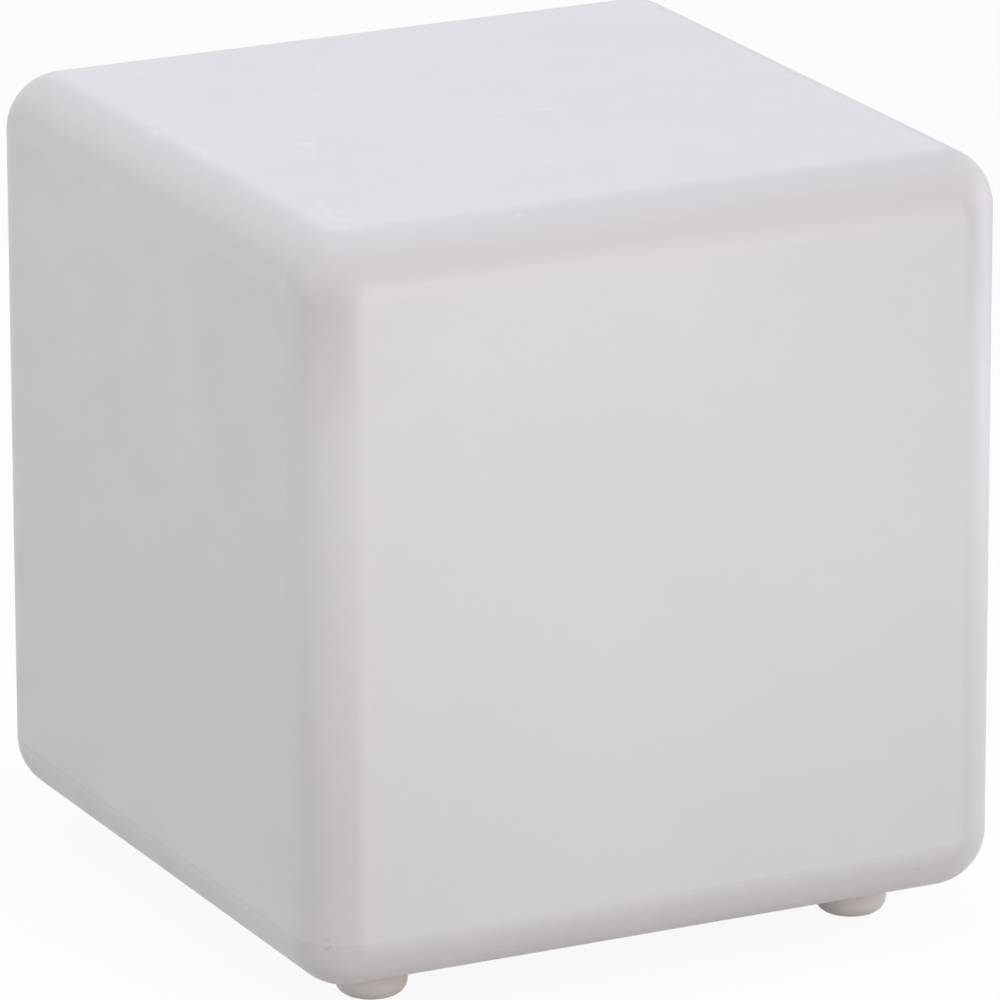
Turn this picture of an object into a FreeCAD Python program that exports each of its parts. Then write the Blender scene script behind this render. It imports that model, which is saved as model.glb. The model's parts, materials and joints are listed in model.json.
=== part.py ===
import FreeCAD, Part
import os
import Sketcher
from FreeCAD import Placement, Rotation, Vector

# A cube light for gardens and terraces: a hollow moulded shell on four screwed feet, and a round
# light unit that goes up into the shell's underside and is locked by an eighth of a turn.
# The floor is z = 0, the cube's middle is x = y = 0, and its front face looks along -Y.

# Driving dimensions, in millimetres and degrees.
SIZES = (
    ("cube_side", 400, "width, depth and height of the shell, outside"),
    ("edge_radius", 31, "outer rounding of the shell's twelve edges and eight corners"),
    ("shell_wall", 4, "wall of the moulded shell"),
    ("parting_height", 30, "mould parting line, above the shell's underside"),
    ("parting_width", 1.2, "width of the raised parting line"),
    ("parting_proud", 0.4, "how far the parting line stands out of the faces"),
    ("nib_across", 118, "vent nib on the top face, left of the middle"),
    ("nib_along", 22, "vent nib on the top face, in front of the middle"),
    ("nib_radius", 3, "vent nib"),
    ("nib_height", 1, "vent nib"),
    ("recess_gap", 10, "round recess in the underside, beyond the flange of the mounting ring"),
    ("recess_depth", 22, "depth of the recess"),
    ("recess_rounding", 3, "rounding of the recess's rim and inner corner"),
    ("foot_height", 20, "foot, below the shell"),
    ("foot_radius", 19, "foot"),
    ("foot_rounding", 8, "rounding of the foot's lower edge"),
    ("foot_inset", 60, "centre of each foot, in from the sides of the cube"),
    ("foot_bore_radius", 7.2, "counterbore in the foot for the screw's head"),
    ("foot_web", 8.5, "plastic between that counterbore and the shell"),
    ("foot_screw_radius", 3, "thread of the foot screw"),
    ("foot_screw_length", 20, "foot screw, below its head"),
    ("foot_head_radius", 5.4, "head of the foot screw"),
    ("foot_head_height", 4, "head of the foot screw"),
    ("foot_key", 2.3, "corner radius of the six-sided key hole in the head"),
    ("foot_key_depth", 2.4, "depth of the key hole"),
    ("washer_radius", 6.6, "washer under the foot screw's head"),
    ("washer_thickness", 1.2, "washer under the foot screw's head"),
    ("insert_radius", 4.5, "brass insert in the shell"),
    ("insert_length", 12, "brass insert in the shell"),
    ("boss_wall", 5.4, "plastic around a foot insert"),
    ("boss_cap", 3, "plastic above a foot insert"),
    ("ring_gasket_thickness", 1.2, "seal between the shell and the mounting ring"),
    ("ring_gasket_margin", 1.5, "seal's edges, in from the flange's edges"),
    ("flange_width", 20, "flange of the mounting ring, beyond the opening in the shell"),
    ("flange_thickness", 3, "flange of the mounting ring"),
    ("flange_rounding", 1, "lower edge of the flange"),
    ("neck_wall", 3.5, "neck of the mounting ring"),
    ("neck_height", 12, "neck, from the underside of the flange"),
    ("ledge_thickness", 4, "ledges inside the neck that carry the light unit"),
    ("ring_screw_inset", 9, "ring screws, in from the flange's edge"),
    ("ring_screw_count", 6, "ring screws"),
    ("ring_screw_radius", 2, "ring screws"),
    ("ring_screw_length", 13, "ring screws, below their heads"),
    ("ring_boss_radius", 6, "screw bosses above the roof of the recess"),
    ("ring_boss_height", 11, "screw bosses above the roof of the recess"),
    ("lock_count", 4, "locking lugs, and ledges to match"),
    ("lock_travel", 45, "turn from locked to free"),
    ("lock_stop", 4, "angle that one stop rib takes"),
    ("lock_gap", 0.5, "angle between a lug and its stop"),
    ("lock_margin", 1, "angle between a freed lug and the ledge it has left"),
    ("lug_thickness", 3.5, "locking lugs"),
    ("lug_depth", 3.5, "locking lugs, out from the housing"),
    ("housing_radius", 67, "light unit's housing"),
    ("housing_wall", 2.5, "light unit's housing"),
    ("housing_height", 40, "light unit's housing"),
    ("column_radius", 4.5, "screw columns inside the housing"),
    ("column_inset", 6.5, "screw columns, in from the housing's outside"),
    ("column_count", 4, "screw columns"),
    ("shelf_width", 10, "shelf under the lamp board, in from the board's edge"),
    ("shelf_thickness", 2, "shelf that carries the lamp board"),
    ("unit_gasket_thickness", 1.5, "seal between the light unit and the mounting ring"),
    ("plate_reach", 11, "base plate of the light unit, beyond the housing"),
    ("plate_thickness", 3.5, "base plate of the light unit"),
    ("plate_rounding", 1.5, "lower edge of the base plate"),
    ("bar_length", 96, "grip bar under the base plate"),
    ("bar_width", 14, "grip bar under the base plate"),
    ("bar_height", 10, "grip bar under the base plate"),
    ("bar_rounding", 3, "lower edges of the grip bar"),
    ("small_screw_radius", 1.5, "thread of the small screws in the light unit"),
    ("small_screw_length", 9, "small screws, below their heads"),
    ("small_head_radius", 2.8, "heads of the small screws"),
    ("small_head_height", 1.8, "heads of the small screws"),
    ("cross_length", 3.4, "cross slot in a screw's head"),
    ("cross_width", 0.8, "cross slot in a screw's head"),
    ("cross_depth", 1, "cross slot in a screw's head"),
    ("board_gap", 2, "both round circuit boards, in from the screw columns"),
    ("board_thickness", 1.6, "both round circuit boards"),
    ("board_clearance", 9.5, "main board, above the base plate"),
    ("board_boss_radius", 3.5, "bosses that carry a board"),
    ("board_boss_height", 8, "bosses below the lamp board"),
    ("board_screw_inset", 5, "board screws, in from the board's edge"),
    ("board_screw_count", 4, "screws of each board"),
    ("lamp_drop", 3.6, "underside of the lamp board, below the housing's rim"),
    ("cell_radius", 9.2, "battery cell"),
    ("cell_length", 65, "battery cell, without its end cap"),
    ("cap_radius", 3, "end cap of a battery cell"),
    ("cap_height", 1, "end cap of a battery cell"),
    ("cell_gap", 0.3, "clearance around a battery cell"),
    ("tray_wall", 1.6, "walls and floor of the battery tray"),
    ("tray_height", 14, "battery tray"),
    ("contact_width", 8, "battery contacts"),
    ("contact_thickness", 0.5, "battery contacts"),
    ("control_inset", 29, "row of the button and the socket, in from the housing's outside"),
    ("control_across", 26, "button to the left and socket to the right of the middle"),
    ("button_radius", 6.6, "power button"),
    ("button_proud", 1.5, "power button, below the base plate"),
    ("button_travel", 1.2, "power button"),
    ("button_flange", 2, "collar of the power button, beyond the button"),
    ("button_flange_thickness", 1.2, "collar of the power button"),
    ("button_seal_thickness", 1, "seal ring of the power button"),
    ("stem_radius", 2.5, "stem of the power button"),
    ("switch_side", 8, "push switch"),
    ("switch_height", 3.5, "push switch"),
    ("plunger_radius", 1.6, "plunger of the push switch"),
    ("plunger_depth", 1.9, "plunger, inside the switch at rest"),
    ("socket_radius", 5.5, "charging socket"),
    ("socket_height", 11, "charging socket"),
    ("socket_bore_radius", 3.1, "bore of the charging socket"),
    ("socket_back", 1.5, "closed end of the charging socket"),
    ("socket_pin_radius", 1, "pin of the charging socket"),
    ("socket_pin_short", 1, "pin, short of the socket's mouth"),
    ("cover_length", 28, "socket cover, from its hinge to its tip"),
    ("cover_width", 20, "socket cover"),
    ("cover_thickness", 2, "socket cover"),
    ("cover_rounding", 4, "corners of the socket cover"),
    ("cover_plug_radius", 4, "boss of the cover that enters the socket's hole"),
    ("cover_plug_gap", 1, "that boss, short of the socket"),
    ("cover_tab_length", 2.5, "finger tab at the tip of the cover"),
    ("cover_tab_height", 1.6, "finger tab at the tip of the cover"),
    ("hinge_reach", 13, "cover's hinge, to the right of the socket"),
    ("barrel_radius", 1.8, "hinge barrel of the cover"),
    ("barrel_length", 10, "hinge barrel of the cover"),
    ("ear_thickness", 3, "ears that hold the hinge pin"),
    ("hinge_pin_radius", 0.8, "hinge pin"),
    ("indicator_lead", 4, "charge indicator, in front of the row of the button and the socket"),
    ("indicator_radius", 2.4, "indicator's light guide"),
    ("indicator_collar", 1, "collar of the light guide"),
    ("indicator_proud", 0.5, "light guide, below the base plate"),
    ("status_lamp_radius", 1.5, "lamp above the light guide"),
    ("status_lamp_height", 3, "lamp above the light guide"),
    ("chip_length", 10, "control chip"),
    ("chip_width", 6, "control chip"),
    ("chip_height", 1.8, "control chip"),
    ("coil_inset", 24, "charging coil, in from the board's left edge"),
    ("coil_radius", 6, "charging coil"),
    ("coil_height", 7, "charging coil"),
    ("capacitor_inset", 26, "capacitor, in from the board's right edge"),
    ("capacitor_radius", 5, "capacitor"),
    ("capacitor_height", 11, "capacitor"),
    ("coil_gap", 6.6, "charging coil, from the battery tray"),
    ("plug_inset", 20, "plugs of the lamp lead, in from the boards' front edges"),
    ("plug_length", 12, "plugs of the lamp lead"),
    ("plug_width", 6, "plugs of the lamp lead"),
    ("plug_height", 6, "plugs of the lamp lead"),
    ("lead_radius", 0.7, "cores of the lamp lead"),
    ("lead_pitch", 2.5, "cores of the lamp lead"),
    ("lamp_side", 5, "lamp chips"),
    ("lamp_height", 1.6, "lamp chips"),
    ("inner_lamp_circle", 20, "radius of the inner circle of lamp chips"),
    ("inner_lamp_count", 8, "lamp chips on the inner circle"),
    ("lamp_inset", 11, "outer circle of lamp chips, in from the circle of board screws"),
    ("outer_lamp_count", 16, "lamp chips on the outer circle"),
    ("receiver_side", 6, "remote control receiver"),
    ("receiver_height", 5, "remote control receiver, without its lens"),
    ("receiver_lens_radius", 2.5, "lens of the receiver"),
    ("dome_gasket_thickness", 1, "seal under the dome"),
    ("dome_flange_thickness", 2.5, "flange of the dome"),
    ("dome_inset", 4.5, "dome, where it meets its flange, in from the circle of its screws"),
    ("dome_height", 34, "dome, above its flange"),
    ("dome_wall", 2, "dome"),
    ("hole_gap", 0.2, "clearance of a screw, washer or insert in its hole"),
    ("thread_gap", 0.1, "clearance of a screw's thread in the hole it cuts"),
    ("seat_gap", 0.5, "clearance between parts that locate each other"),
    ("turning_gap", 0.5, "radial clearance of the light unit in its ring"),
    ("running_gap", 0.3, "clearance between faces that slide or swing past each other"),
    ("flat_left", 0.5, "flat left beside a rounding that takes nearly the whole of a side"),
)

doc = FreeCAD.newDocument("cube_light")
sheet = doc.addObject("Spreadsheet::Sheet", "sizes")
for row, (alias, value, note) in enumerate(SIZES, start=1):
    sheet.set(f"A{row}", alias)
    sheet.set(f"B{row}", str(value))
    sheet.set(f"C{row}", note)
    sheet.setAlias(f"B{row}", alias)
doc.recompute()

# Levels, from the shell's underside up to the roof of the recess, and then down through what
# hangs below that roof.
SHELL_FLOOR = "sizes.foot_height"
SHELL_INNER_FLOOR = f"({SHELL_FLOOR} + sizes.shell_wall)"
SHELL_TOP = f"({SHELL_FLOOR} + sizes.cube_side)"
ROOF = f"({SHELL_FLOOR} + sizes.recess_depth)"
ROOF_TOP = f"({ROOF} + sizes.shell_wall)"
FLANGE_TOP = f"({ROOF} - sizes.ring_gasket_thickness)"
FLANGE = f"({FLANGE_TOP} - sizes.flange_thickness)"
LEDGE_TOP = f"({FLANGE} + sizes.ledge_thickness)"
NECK_TOP = f"({FLANGE} + sizes.neck_height)"
LUG = f"({LEDGE_TOP} + sizes.running_gap)"
UNIT_GASKET_TOP = f"({FLANGE} - sizes.running_gap)"
PLATE_TOP = f"({UNIT_GASKET_TOP} - sizes.unit_gasket_thickness)"
PLATE = f"({PLATE_TOP} - sizes.plate_thickness)"

# Levels inside the light unit, from the base plate up.
BOARD = f"({PLATE_TOP} + sizes.board_clearance)"
BOARD_TOP = f"({BOARD} + sizes.board_thickness)"
CELL_AXIS = f"({BOARD_TOP} + sizes.tray_wall + sizes.cell_gap + sizes.cell_radius)"
RIM = f"({PLATE_TOP} + sizes.housing_height)"
LAMP_BOARD = f"({RIM} - sizes.lamp_drop)"
LAMP_BOARD_TOP = f"({LAMP_BOARD} + sizes.board_thickness)"
DOME_FLANGE = f"({RIM} + sizes.dome_gasket_thickness)"
DOME_BASE = f"({DOME_FLANGE} + sizes.dome_flange_thickness)"

# Radii from the light unit's housing outwards, through the ring that it turns in.
LEDGE_BORE = "(sizes.housing_radius + sizes.turning_gap)"
LUG_RADIUS = "(sizes.housing_radius + sizes.lug_depth)"
NECK_BORE = f"({LUG_RADIUS} + sizes.turning_gap)"
NECK_RADIUS = f"({NECK_BORE} + sizes.neck_wall)"
OPENING_RADIUS = f"({NECK_RADIUS} + sizes.seat_gap)"
FLANGE_RADIUS = f"({OPENING_RADIUS} + sizes.flange_width)"
RING_SCREW_CIRCLE = f"({FLANGE_RADIUS} - sizes.ring_screw_inset)"
RECESS_RADIUS = f"({FLANGE_RADIUS} + sizes.recess_gap)"
PLATE_RADIUS = "(sizes.housing_radius + sizes.plate_reach)"

# Radii from the housing inwards, to what it holds.
HOUSING_BORE = "(sizes.housing_radius - sizes.housing_wall)"
COLUMN_CIRCLE = "(sizes.housing_radius - sizes.column_inset)"
DOME_RADIUS = f"({COLUMN_CIRCLE} - sizes.dome_inset)"
BOARD_RADIUS = f"({COLUMN_CIRCLE} - sizes.column_radius - sizes.board_gap)"
BOARD_CIRCLE = f"({BOARD_RADIUS} - sizes.board_screw_inset)"
SHELF_RADIUS = f"({BOARD_RADIUS} - sizes.shelf_width)"
OUTER_LAMP_CIRCLE = f"({BOARD_CIRCLE} - sizes.lamp_inset)"

# The feet, at the same distance from the sides of the cube.
FOOT_AWAY = "(sizes.cube_side / 2 - sizes.foot_inset)"
FOOT_SEAT = "(sizes.foot_height - sizes.foot_web)"
FOOT_WASHER = f"({FOOT_SEAT} - sizes.washer_thickness)"
FOOT_SCREW_TIP = f"({FOOT_WASHER} + sizes.foot_screw_length)"
CORNERS = (("front_left", -1, -1), ("front_right", 1, -1), ("rear_left", -1, 1), ("rear_right", 1, 1))

# The turn of the lock: each lug, its ledge and a stop rib share one part of the full turn.
LOCK_PITCH = "(360 / sizes.lock_count)"
LUG_ANGLE = f"({LOCK_PITCH} - sizes.lock_stop - sizes.lock_travel - 2 * sizes.lock_gap)"
LEDGE_ANGLE = "(sizes.lock_travel + sizes.lock_gap - sizes.lock_margin)"

# The underside's controls.
BUTTON_X = "(-sizes.control_across)"
SOCKET_X = "sizes.control_across"
CONTROL_Y = "(sizes.housing_radius - sizes.control_inset)"
INDICATOR_Y = f"({CONTROL_Y} - sizes.indicator_lead)"
SWITCH = f"({BOARD} - sizes.switch_height)"
STEM_TOP = f"({SWITCH} - sizes.button_travel - sizes.running_gap)"
SOCKET = f"({BOARD} - sizes.socket_height)"
SOCKET_CEILING = f"({BOARD} - sizes.socket_back)"
HINGE_X = f"({SOCKET_X} + sizes.hinge_reach)"
HINGE_Z = f"({PLATE} - sizes.running_gap - sizes.barrel_radius)"

# The battery tray, with a trough for each of two cells, and the row of parts in front of it.
TRAY_HALF = "(sizes.cell_length / 2 + sizes.cap_height / 2 + sizes.cell_gap + sizes.contact_thickness)"
TROUGH_WIDTH = "(2 * (sizes.cell_radius + sizes.cell_gap))"
TRAY_WIDTH = f"(2 * {TROUGH_WIDTH} + 3 * sizes.tray_wall)"
CELL_AWAY = f"({TROUGH_WIDTH} / 2 + sizes.tray_wall / 2)"
COIL_Y = f"(-({TRAY_WIDTH} / 2 + sizes.coil_gap + sizes.coil_radius))"
LEAD_Y = f"(sizes.plug_inset - {BOARD_RADIUS})"


def size(expression):
    """The number that an expression of the sheet's sizes comes to."""
    result = sheet.evalExpression(expression)
    return float(getattr(result, "Value", result))


def bind(thing, **expressions):
    """Tie properties to expressions; a double underscore in a name stands for a dot."""
    for name, expression in expressions.items():
        thing.setExpression(name.replace("__", "."), expression)


def origin_part(body, role):
    """One of a body's own origin planes or axes."""
    return next(part for part in body.Origin.OriginFeatures if part.Role == role)


def new_body(label):
    body = doc.addObject("PartDesign::Body", label)
    body.Label = label
    return body


def new_sketch(body, name, plane, x=None, y=None, z=None, turn=None):
    """A sketch on one of the body's origin planes, moved in the plane and along its normal."""
    sketch = body.newObject("Sketcher::SketchObject", name)
    sketch.AttachmentSupport = [(origin_part(body, plane), "")]
    sketch.MapMode = "FlatFace"
    if turn:
        sketch.AttachmentOffset = Placement(Vector(), Rotation(Vector(0, 1, 0), 1))
        sketch.setExpression("AttachmentOffset.Rotation.Angle", turn)
    for axis, shift in (("x", x), ("y", y), ("z", z)):
        if shift:
            sketch.setExpression(f"AttachmentOffset.Base.{axis}", shift)
    return sketch


def place_point(sketch, index, position, expression, kind, axis):
    """Hold one coordinate of a point: at a distance from the origin, or on an axis."""
    value = size(expression)
    if value == 0:
        sketch.addConstraint(Sketcher.Constraint("PointOnObject", index, position, axis))
        return
    number = sketch.addConstraint(Sketcher.Constraint(kind, -1, 1, index, position, value))
    sketch.setExpression(f"Constraints[{number}]", expression)


def draw_outline(sketch, corners):
    """A closed outline of straight lines through corners, given as pairs of expressions."""
    first = sketch.GeometryCount
    count = len(corners)
    points = [Vector(size(across), size(up), 0) for across, up in corners]
    for index in range(count):
        sketch.addGeometry(Part.LineSegment(points[index], points[(index + 1) % count]), False)
    for index in range(count):
        following = first + (index + 1) % count
        sketch.addConstraint(Sketcher.Constraint("Coincident", first + index, 2, following, 1))
    for index, (across, up) in enumerate(corners):
        place_point(sketch, first + index, 1, across, "DistanceX", -2)
        place_point(sketch, first + index, 1, up, "DistanceY", -1)


def draw_rectangle(sketch, left, bottom, right, top):
    draw_outline(sketch, ((left, bottom), (right, bottom), (right, top), (left, top)))


def draw_centred_rectangle(sketch, width, height, x="0", y="0"):
    """A rectangle of a width and a height about a point."""
    draw_rectangle(sketch, f"({x} - {width} / 2)", f"({y} - {height} / 2)",
                   f"({x} + {width} / 2)", f"({y} + {height} / 2)")


def draw_circle(sketch, radius, x="0", y="0"):
    index = sketch.GeometryCount
    middle = Vector(size(x), size(y), 0)
    sketch.addGeometry(Part.Circle(middle, Vector(0, 0, 1), size(radius)), False)
    number = sketch.addConstraint(Sketcher.Constraint("Radius", index, size(radius)))
    sketch.setExpression(f"Constraints[{number}]", radius)
    place_point(sketch, index, 3, x, "DistanceX", -2)
    place_point(sketch, index, 3, y, "DistanceY", -1)


def feature(body, kind, name, sketch, reverse=False, **expressions):
    """A feature of a body that is made from a sketch."""
    made = body.newObject(f"PartDesign::{kind}", name)
    made.Profile = sketch
    made.Reversed = reverse
    bind(made, **expressions)
    return made


def pad(body, name, draw, height, plane="XY_Plane", reverse=False, shift=None, **place):
    """Material drawn on an origin plane and raised off it; draw fills in the sketch."""
    sketch = new_sketch(body, f"{name}_sketch", plane, z=shift, **place)
    draw(sketch)
    return feature(body, "Pad", name, sketch, reverse, Length=height)


def pocket(body, name, draw, depth, plane="XY_Plane", reverse=True, shift=None, **place):
    """A cut drawn on an origin plane; it goes up from the plane unless reverse is False."""
    sketch = new_sketch(body, f"{name}_sketch", plane, z=shift, **place)
    draw(sketch)
    return feature(body, "Pocket", name, sketch, reverse, Length=depth)


def turned(body, name, corners, x=None, y=None, angle=None, start=None, reverse=False):
    """Material turned about an upright line; corners are (distance from the line, height)."""
    behind = f"-({y})" if y else None
    sketch = new_sketch(body, f"{name}_sketch", "XZ_Plane", x=x, z=behind, turn=start)
    draw_outline(sketch, corners)
    made = feature(body, "Revolution", name, sketch, reverse)
    made.ReferenceAxis = (sketch, ["V_Axis"])
    if angle:
        bind(made, Angle=angle)
    else:
        made.Angle = 360
    return made


def ring_corners(inner, outer, bottom, top):
    """The section of a ring, or of a disc when inner is 0."""
    return ((inner, bottom), (outer, bottom), (outer, top), (inner, top))


def repeat(body, name, originals, count):
    """Copies of features at equal angles about the body's upright axis."""
    made = body.newObject("PartDesign::PolarPattern", name)
    made.Originals = originals
    made.Axis = (origin_part(body, "Z_Axis"), [""])
    made.Angle = 360
    bind(made, Occurrences=count)
    body.Tip = made
    return made


def soften(body, kind, name, wanted, **expressions):
    """A fillet or a chamfer on the edges of the body that the wanted function picks."""
    doc.recompute()
    base = body.Tip
    names = [f"Edge{number}" for number, edge in enumerate(base.Shape.Edges, start=1)
             if wanted(edge)]
    made = body.newObject(f"PartDesign::{kind}", name)
    made.Base = (base, names)
    bind(made, **expressions)
    return made


def round_edge(radius, level):
    """Picks the full circles of one radius at one level."""
    def wanted(edge):
        bounds = edge.BoundBox
        across = abs(bounds.XLength - 2 * size(radius)) < 0.01
        return across and edge_at(level)(edge) and len(edge.Vertexes) == 1
    return wanted


def edge_at(level):
    """Picks the edges that lie level at a height."""
    def wanted(edge):
        bounds = edge.BoundBox
        return bounds.ZLength < 0.01 and abs(bounds.ZMin - size(level)) < 0.01
    return wanted


def upright_edge(edge):
    """Picks the edges that stand upright."""
    return edge.BoundBox.XLength < 0.01 and edge.BoundBox.YLength < 0.01


def any_edge(edge):
    return True


def cylinder(name, radius, height, x="0", y="0", z="0"):
    """A plain upright cylinder, for joining to or cutting from another solid."""
    made = doc.addObject("Part::Cylinder", name)
    bind(made, Radius=radius, Height=height)
    bind(made, Placement__Base__x=x, Placement__Base__y=y, Placement__Base__z=z)
    return made


def joined(name, *shapes):
    made = doc.addObject("Part::MultiFuse", name)
    made.Shapes = list(shapes)
    made.Label = name
    return made


def cut_away(name, base, tool):
    made = doc.addObject("Part::Cut", name)
    made.Base = base
    made.Tool = tool
    made.Label = name
    return made


def at_angle(radius, degrees):
    """The x and y expressions of a point on a circle about the upright axis."""
    return f"({radius} * cos({degrees}))", f"({radius} * sin({degrees}))"


def make_shell():
    """The moulded shell: a rounded cube, hollow, with a round recess in its underside."""
    side = "sizes.cube_side"
    block = new_body("shell_block")
    pad(block, "cube", lambda sketch: draw_centred_rectangle(sketch, side, side), side,
        shift=SHELL_FLOOR)
    soften(block, "Fillet", "edges", any_edge, Radius="sizes.edge_radius")
    pocket(block, "recess", lambda sketch: draw_circle(sketch, RECESS_RADIUS),
           "sizes.recess_depth", shift=SHELL_FLOOR)
    soften(block, "Fillet", "recess_rim", round_edge(RECESS_RADIUS, SHELL_FLOOR),
           Radius="sizes.recess_rounding")
    soften(block, "Fillet", "recess_corner", round_edge(RECESS_RADIUS, ROOF),
           Radius="sizes.recess_rounding")

    bead_side = "(sizes.cube_side + 2 * sizes.parting_proud)"
    bead = new_body("parting_bead")
    pad(bead, "slab", lambda sketch: draw_centred_rectangle(sketch, bead_side, bead_side),
        "sizes.parting_width",
        shift=f"({SHELL_FLOOR} + sizes.parting_height - sizes.parting_width / 2)")
    soften(bead, "Fillet", "corners", upright_edge, Radius="sizes.edge_radius + sizes.parting_proud")

    nib = new_body("vent_nib")
    turned(nib, "knob", ring_corners("0", "sizes.nib_radius", f"({SHELL_TOP} - sizes.shell_wall / 2)",
                                     f"({SHELL_TOP} + sizes.nib_height)"),
           x="-sizes.nib_across", y="-sizes.nib_along")
    soften(nib, "Fillet", "dome", round_edge("sizes.nib_radius", f"({SHELL_TOP} + sizes.nib_height)"),
           Radius="sizes.nib_height - sizes.flat_left")

    inner_side = "(sizes.cube_side - 2 * sizes.shell_wall)"
    hollow = new_body("hollow")
    pad(hollow, "inner_cube", lambda sketch: draw_centred_rectangle(sketch, inner_side, inner_side),
        inner_side, shift=SHELL_INNER_FLOOR)
    soften(hollow, "Fillet", "inner_edges", any_edge, Radius="sizes.edge_radius - sizes.shell_wall")
    tub = new_body("recess_tub")
    turned(tub, "tub", ring_corners("0", f"({RECESS_RADIUS} + sizes.shell_wall)", SHELL_FLOOR, ROOF_TOP))
    soften(tub, "Fillet", "tub_rim", round_edge(f"({RECESS_RADIUS} + sizes.shell_wall)", ROOF_TOP),
           Radius="sizes.recess_rounding + sizes.shell_wall")

    raised = [tub]
    holes = [cylinder("opening", OPENING_RADIUS, "2 * sizes.shell_wall",
                      z=f"{ROOF} - sizes.shell_wall / 2")]
    boss_height = "(sizes.insert_length + sizes.boss_cap)"
    for corner, across, along in CORNERS:
        x = f"{across} * {FOOT_AWAY}"
        y = f"{along} * {FOOT_AWAY}"
        raised.append(cylinder(f"boss_{corner}", "sizes.insert_radius + sizes.boss_wall", boss_height,
                               x, y, SHELL_FLOOR))
        holes.append(cylinder(f"insert_hole_{corner}", "sizes.insert_radius + sizes.hole_gap",
                              "2 * sizes.insert_length", x, y, f"{SHELL_FLOOR} - sizes.insert_length"))
        holes.append(cylinder(f"screw_hole_{corner}", "sizes.foot_screw_radius + sizes.hole_gap",
                              f"{FOOT_SCREW_TIP} + sizes.hole_gap", x, y))
    for number in range(int(size("sizes.ring_screw_count"))):
        x, y = at_angle(RING_SCREW_CIRCLE, f"{number} * 360 / sizes.ring_screw_count")
        raised.append(cylinder(f"ring_boss_{number}", "sizes.ring_boss_radius",
                               "sizes.shell_wall + sizes.ring_boss_height", x, y, ROOF))
        holes.append(cylinder(f"ring_hole_{number}", "sizes.ring_screw_radius + sizes.thread_gap",
                              "2 * sizes.ring_screw_length", x, y, f"{FLANGE} - sizes.ring_screw_length"))

    skin = joined("shell_skin", block, bead, nib)
    void = cut_away("shell_void", hollow, joined("raised_inside", *raised))
    return cut_away("shell", skin, joined("shell_removed", void, *holes))


def make_foot(corner, across, along):
    """A foot: a round pad with a rounded lower edge, and a stepped bore for its screw."""
    body = new_body(f"foot_{corner}")
    bore = "(sizes.foot_screw_radius + sizes.hole_gap)"
    turned(body, "pad", ((bore, FOOT_SEAT), ("sizes.foot_bore_radius", FOOT_SEAT),
                         ("sizes.foot_bore_radius", "0"), ("sizes.foot_radius", "0"),
                         ("sizes.foot_radius", "sizes.foot_height"), (bore, "sizes.foot_height")))
    soften(body, "Fillet", "lower_edge", round_edge("sizes.foot_radius", "0"), Radius="sizes.foot_rounding")
    bind(body, Placement__Base__x=f"{across} * {FOOT_AWAY}", Placement__Base__y=f"{along} * {FOOT_AWAY}")
    return body


def make_foot_screws():
    """Screws with six-sided key holes, up through the feet into the inserts."""
    body = new_body("foot_screws")
    head = f"({FOOT_WASHER} - sizes.foot_head_height)"
    screw = turned(body, "screw", (("0", head), ("sizes.foot_head_radius", head),
                                   ("sizes.foot_head_radius", FOOT_WASHER),
                                   ("sizes.foot_screw_radius", FOOT_WASHER),
                                   ("sizes.foot_screw_radius", FOOT_SCREW_TIP), ("0", FOOT_SCREW_TIP)),
                   x=FOOT_AWAY, y=FOOT_AWAY)

    def draw_key(sketch):
        corners = [at_angle("sizes.foot_key", f"60 * {number}") for number in range(6)]
        draw_outline(sketch, [(f"({FOOT_AWAY} + {x})", f"({FOOT_AWAY} + {y})") for x, y in corners])

    key = pocket(body, "key", draw_key, "sizes.foot_key_depth", shift=head)
    repeat(body, "screws", [screw, key], "4")
    return body


def make_corner_rings(label, inner, outer, bottom, top):
    """Four like rings, one over each foot."""
    body = new_body(label)
    one = turned(body, "ring", ring_corners(inner, outer, bottom, top), x=FOOT_AWAY, y=FOOT_AWAY)
    repeat(body, "rings", [one], "4")
    return body


def make_screws(label, count, circle, seat, upward, radius, length, head_radius, head_height):
    """Screws with cross slots on a circle; upward ones have their heads below."""
    body = new_body(label)
    sign = "1" if upward else "-1"
    head = f"({seat} - {sign} * {head_height})"
    tip = f"({seat} + {sign} * {length})"
    screw = turned(body, "screw", (("0", head), (head_radius, head), (head_radius, seat),
                                   (radius, seat), (radius, tip), ("0", tip)), x=circle)
    slots = []
    for name, width, height in (("slot", "sizes.cross_length", "sizes.cross_width"),
                                ("cross_slot", "sizes.cross_width", "sizes.cross_length")):
        slots.append(pocket(body, name, lambda sketch: draw_centred_rectangle(sketch, width, height, circle),
                            "sizes.cross_depth", reverse=upward, shift=head))
    repeat(body, "screws", [screw] + slots, count)
    return body


def make_ring(label, inner, outer, bottom, top):
    """A flat ring about the upright axis."""
    body = new_body(label)
    turned(body, "ring", ring_corners(inner, outer, bottom, top))
    return body


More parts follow.
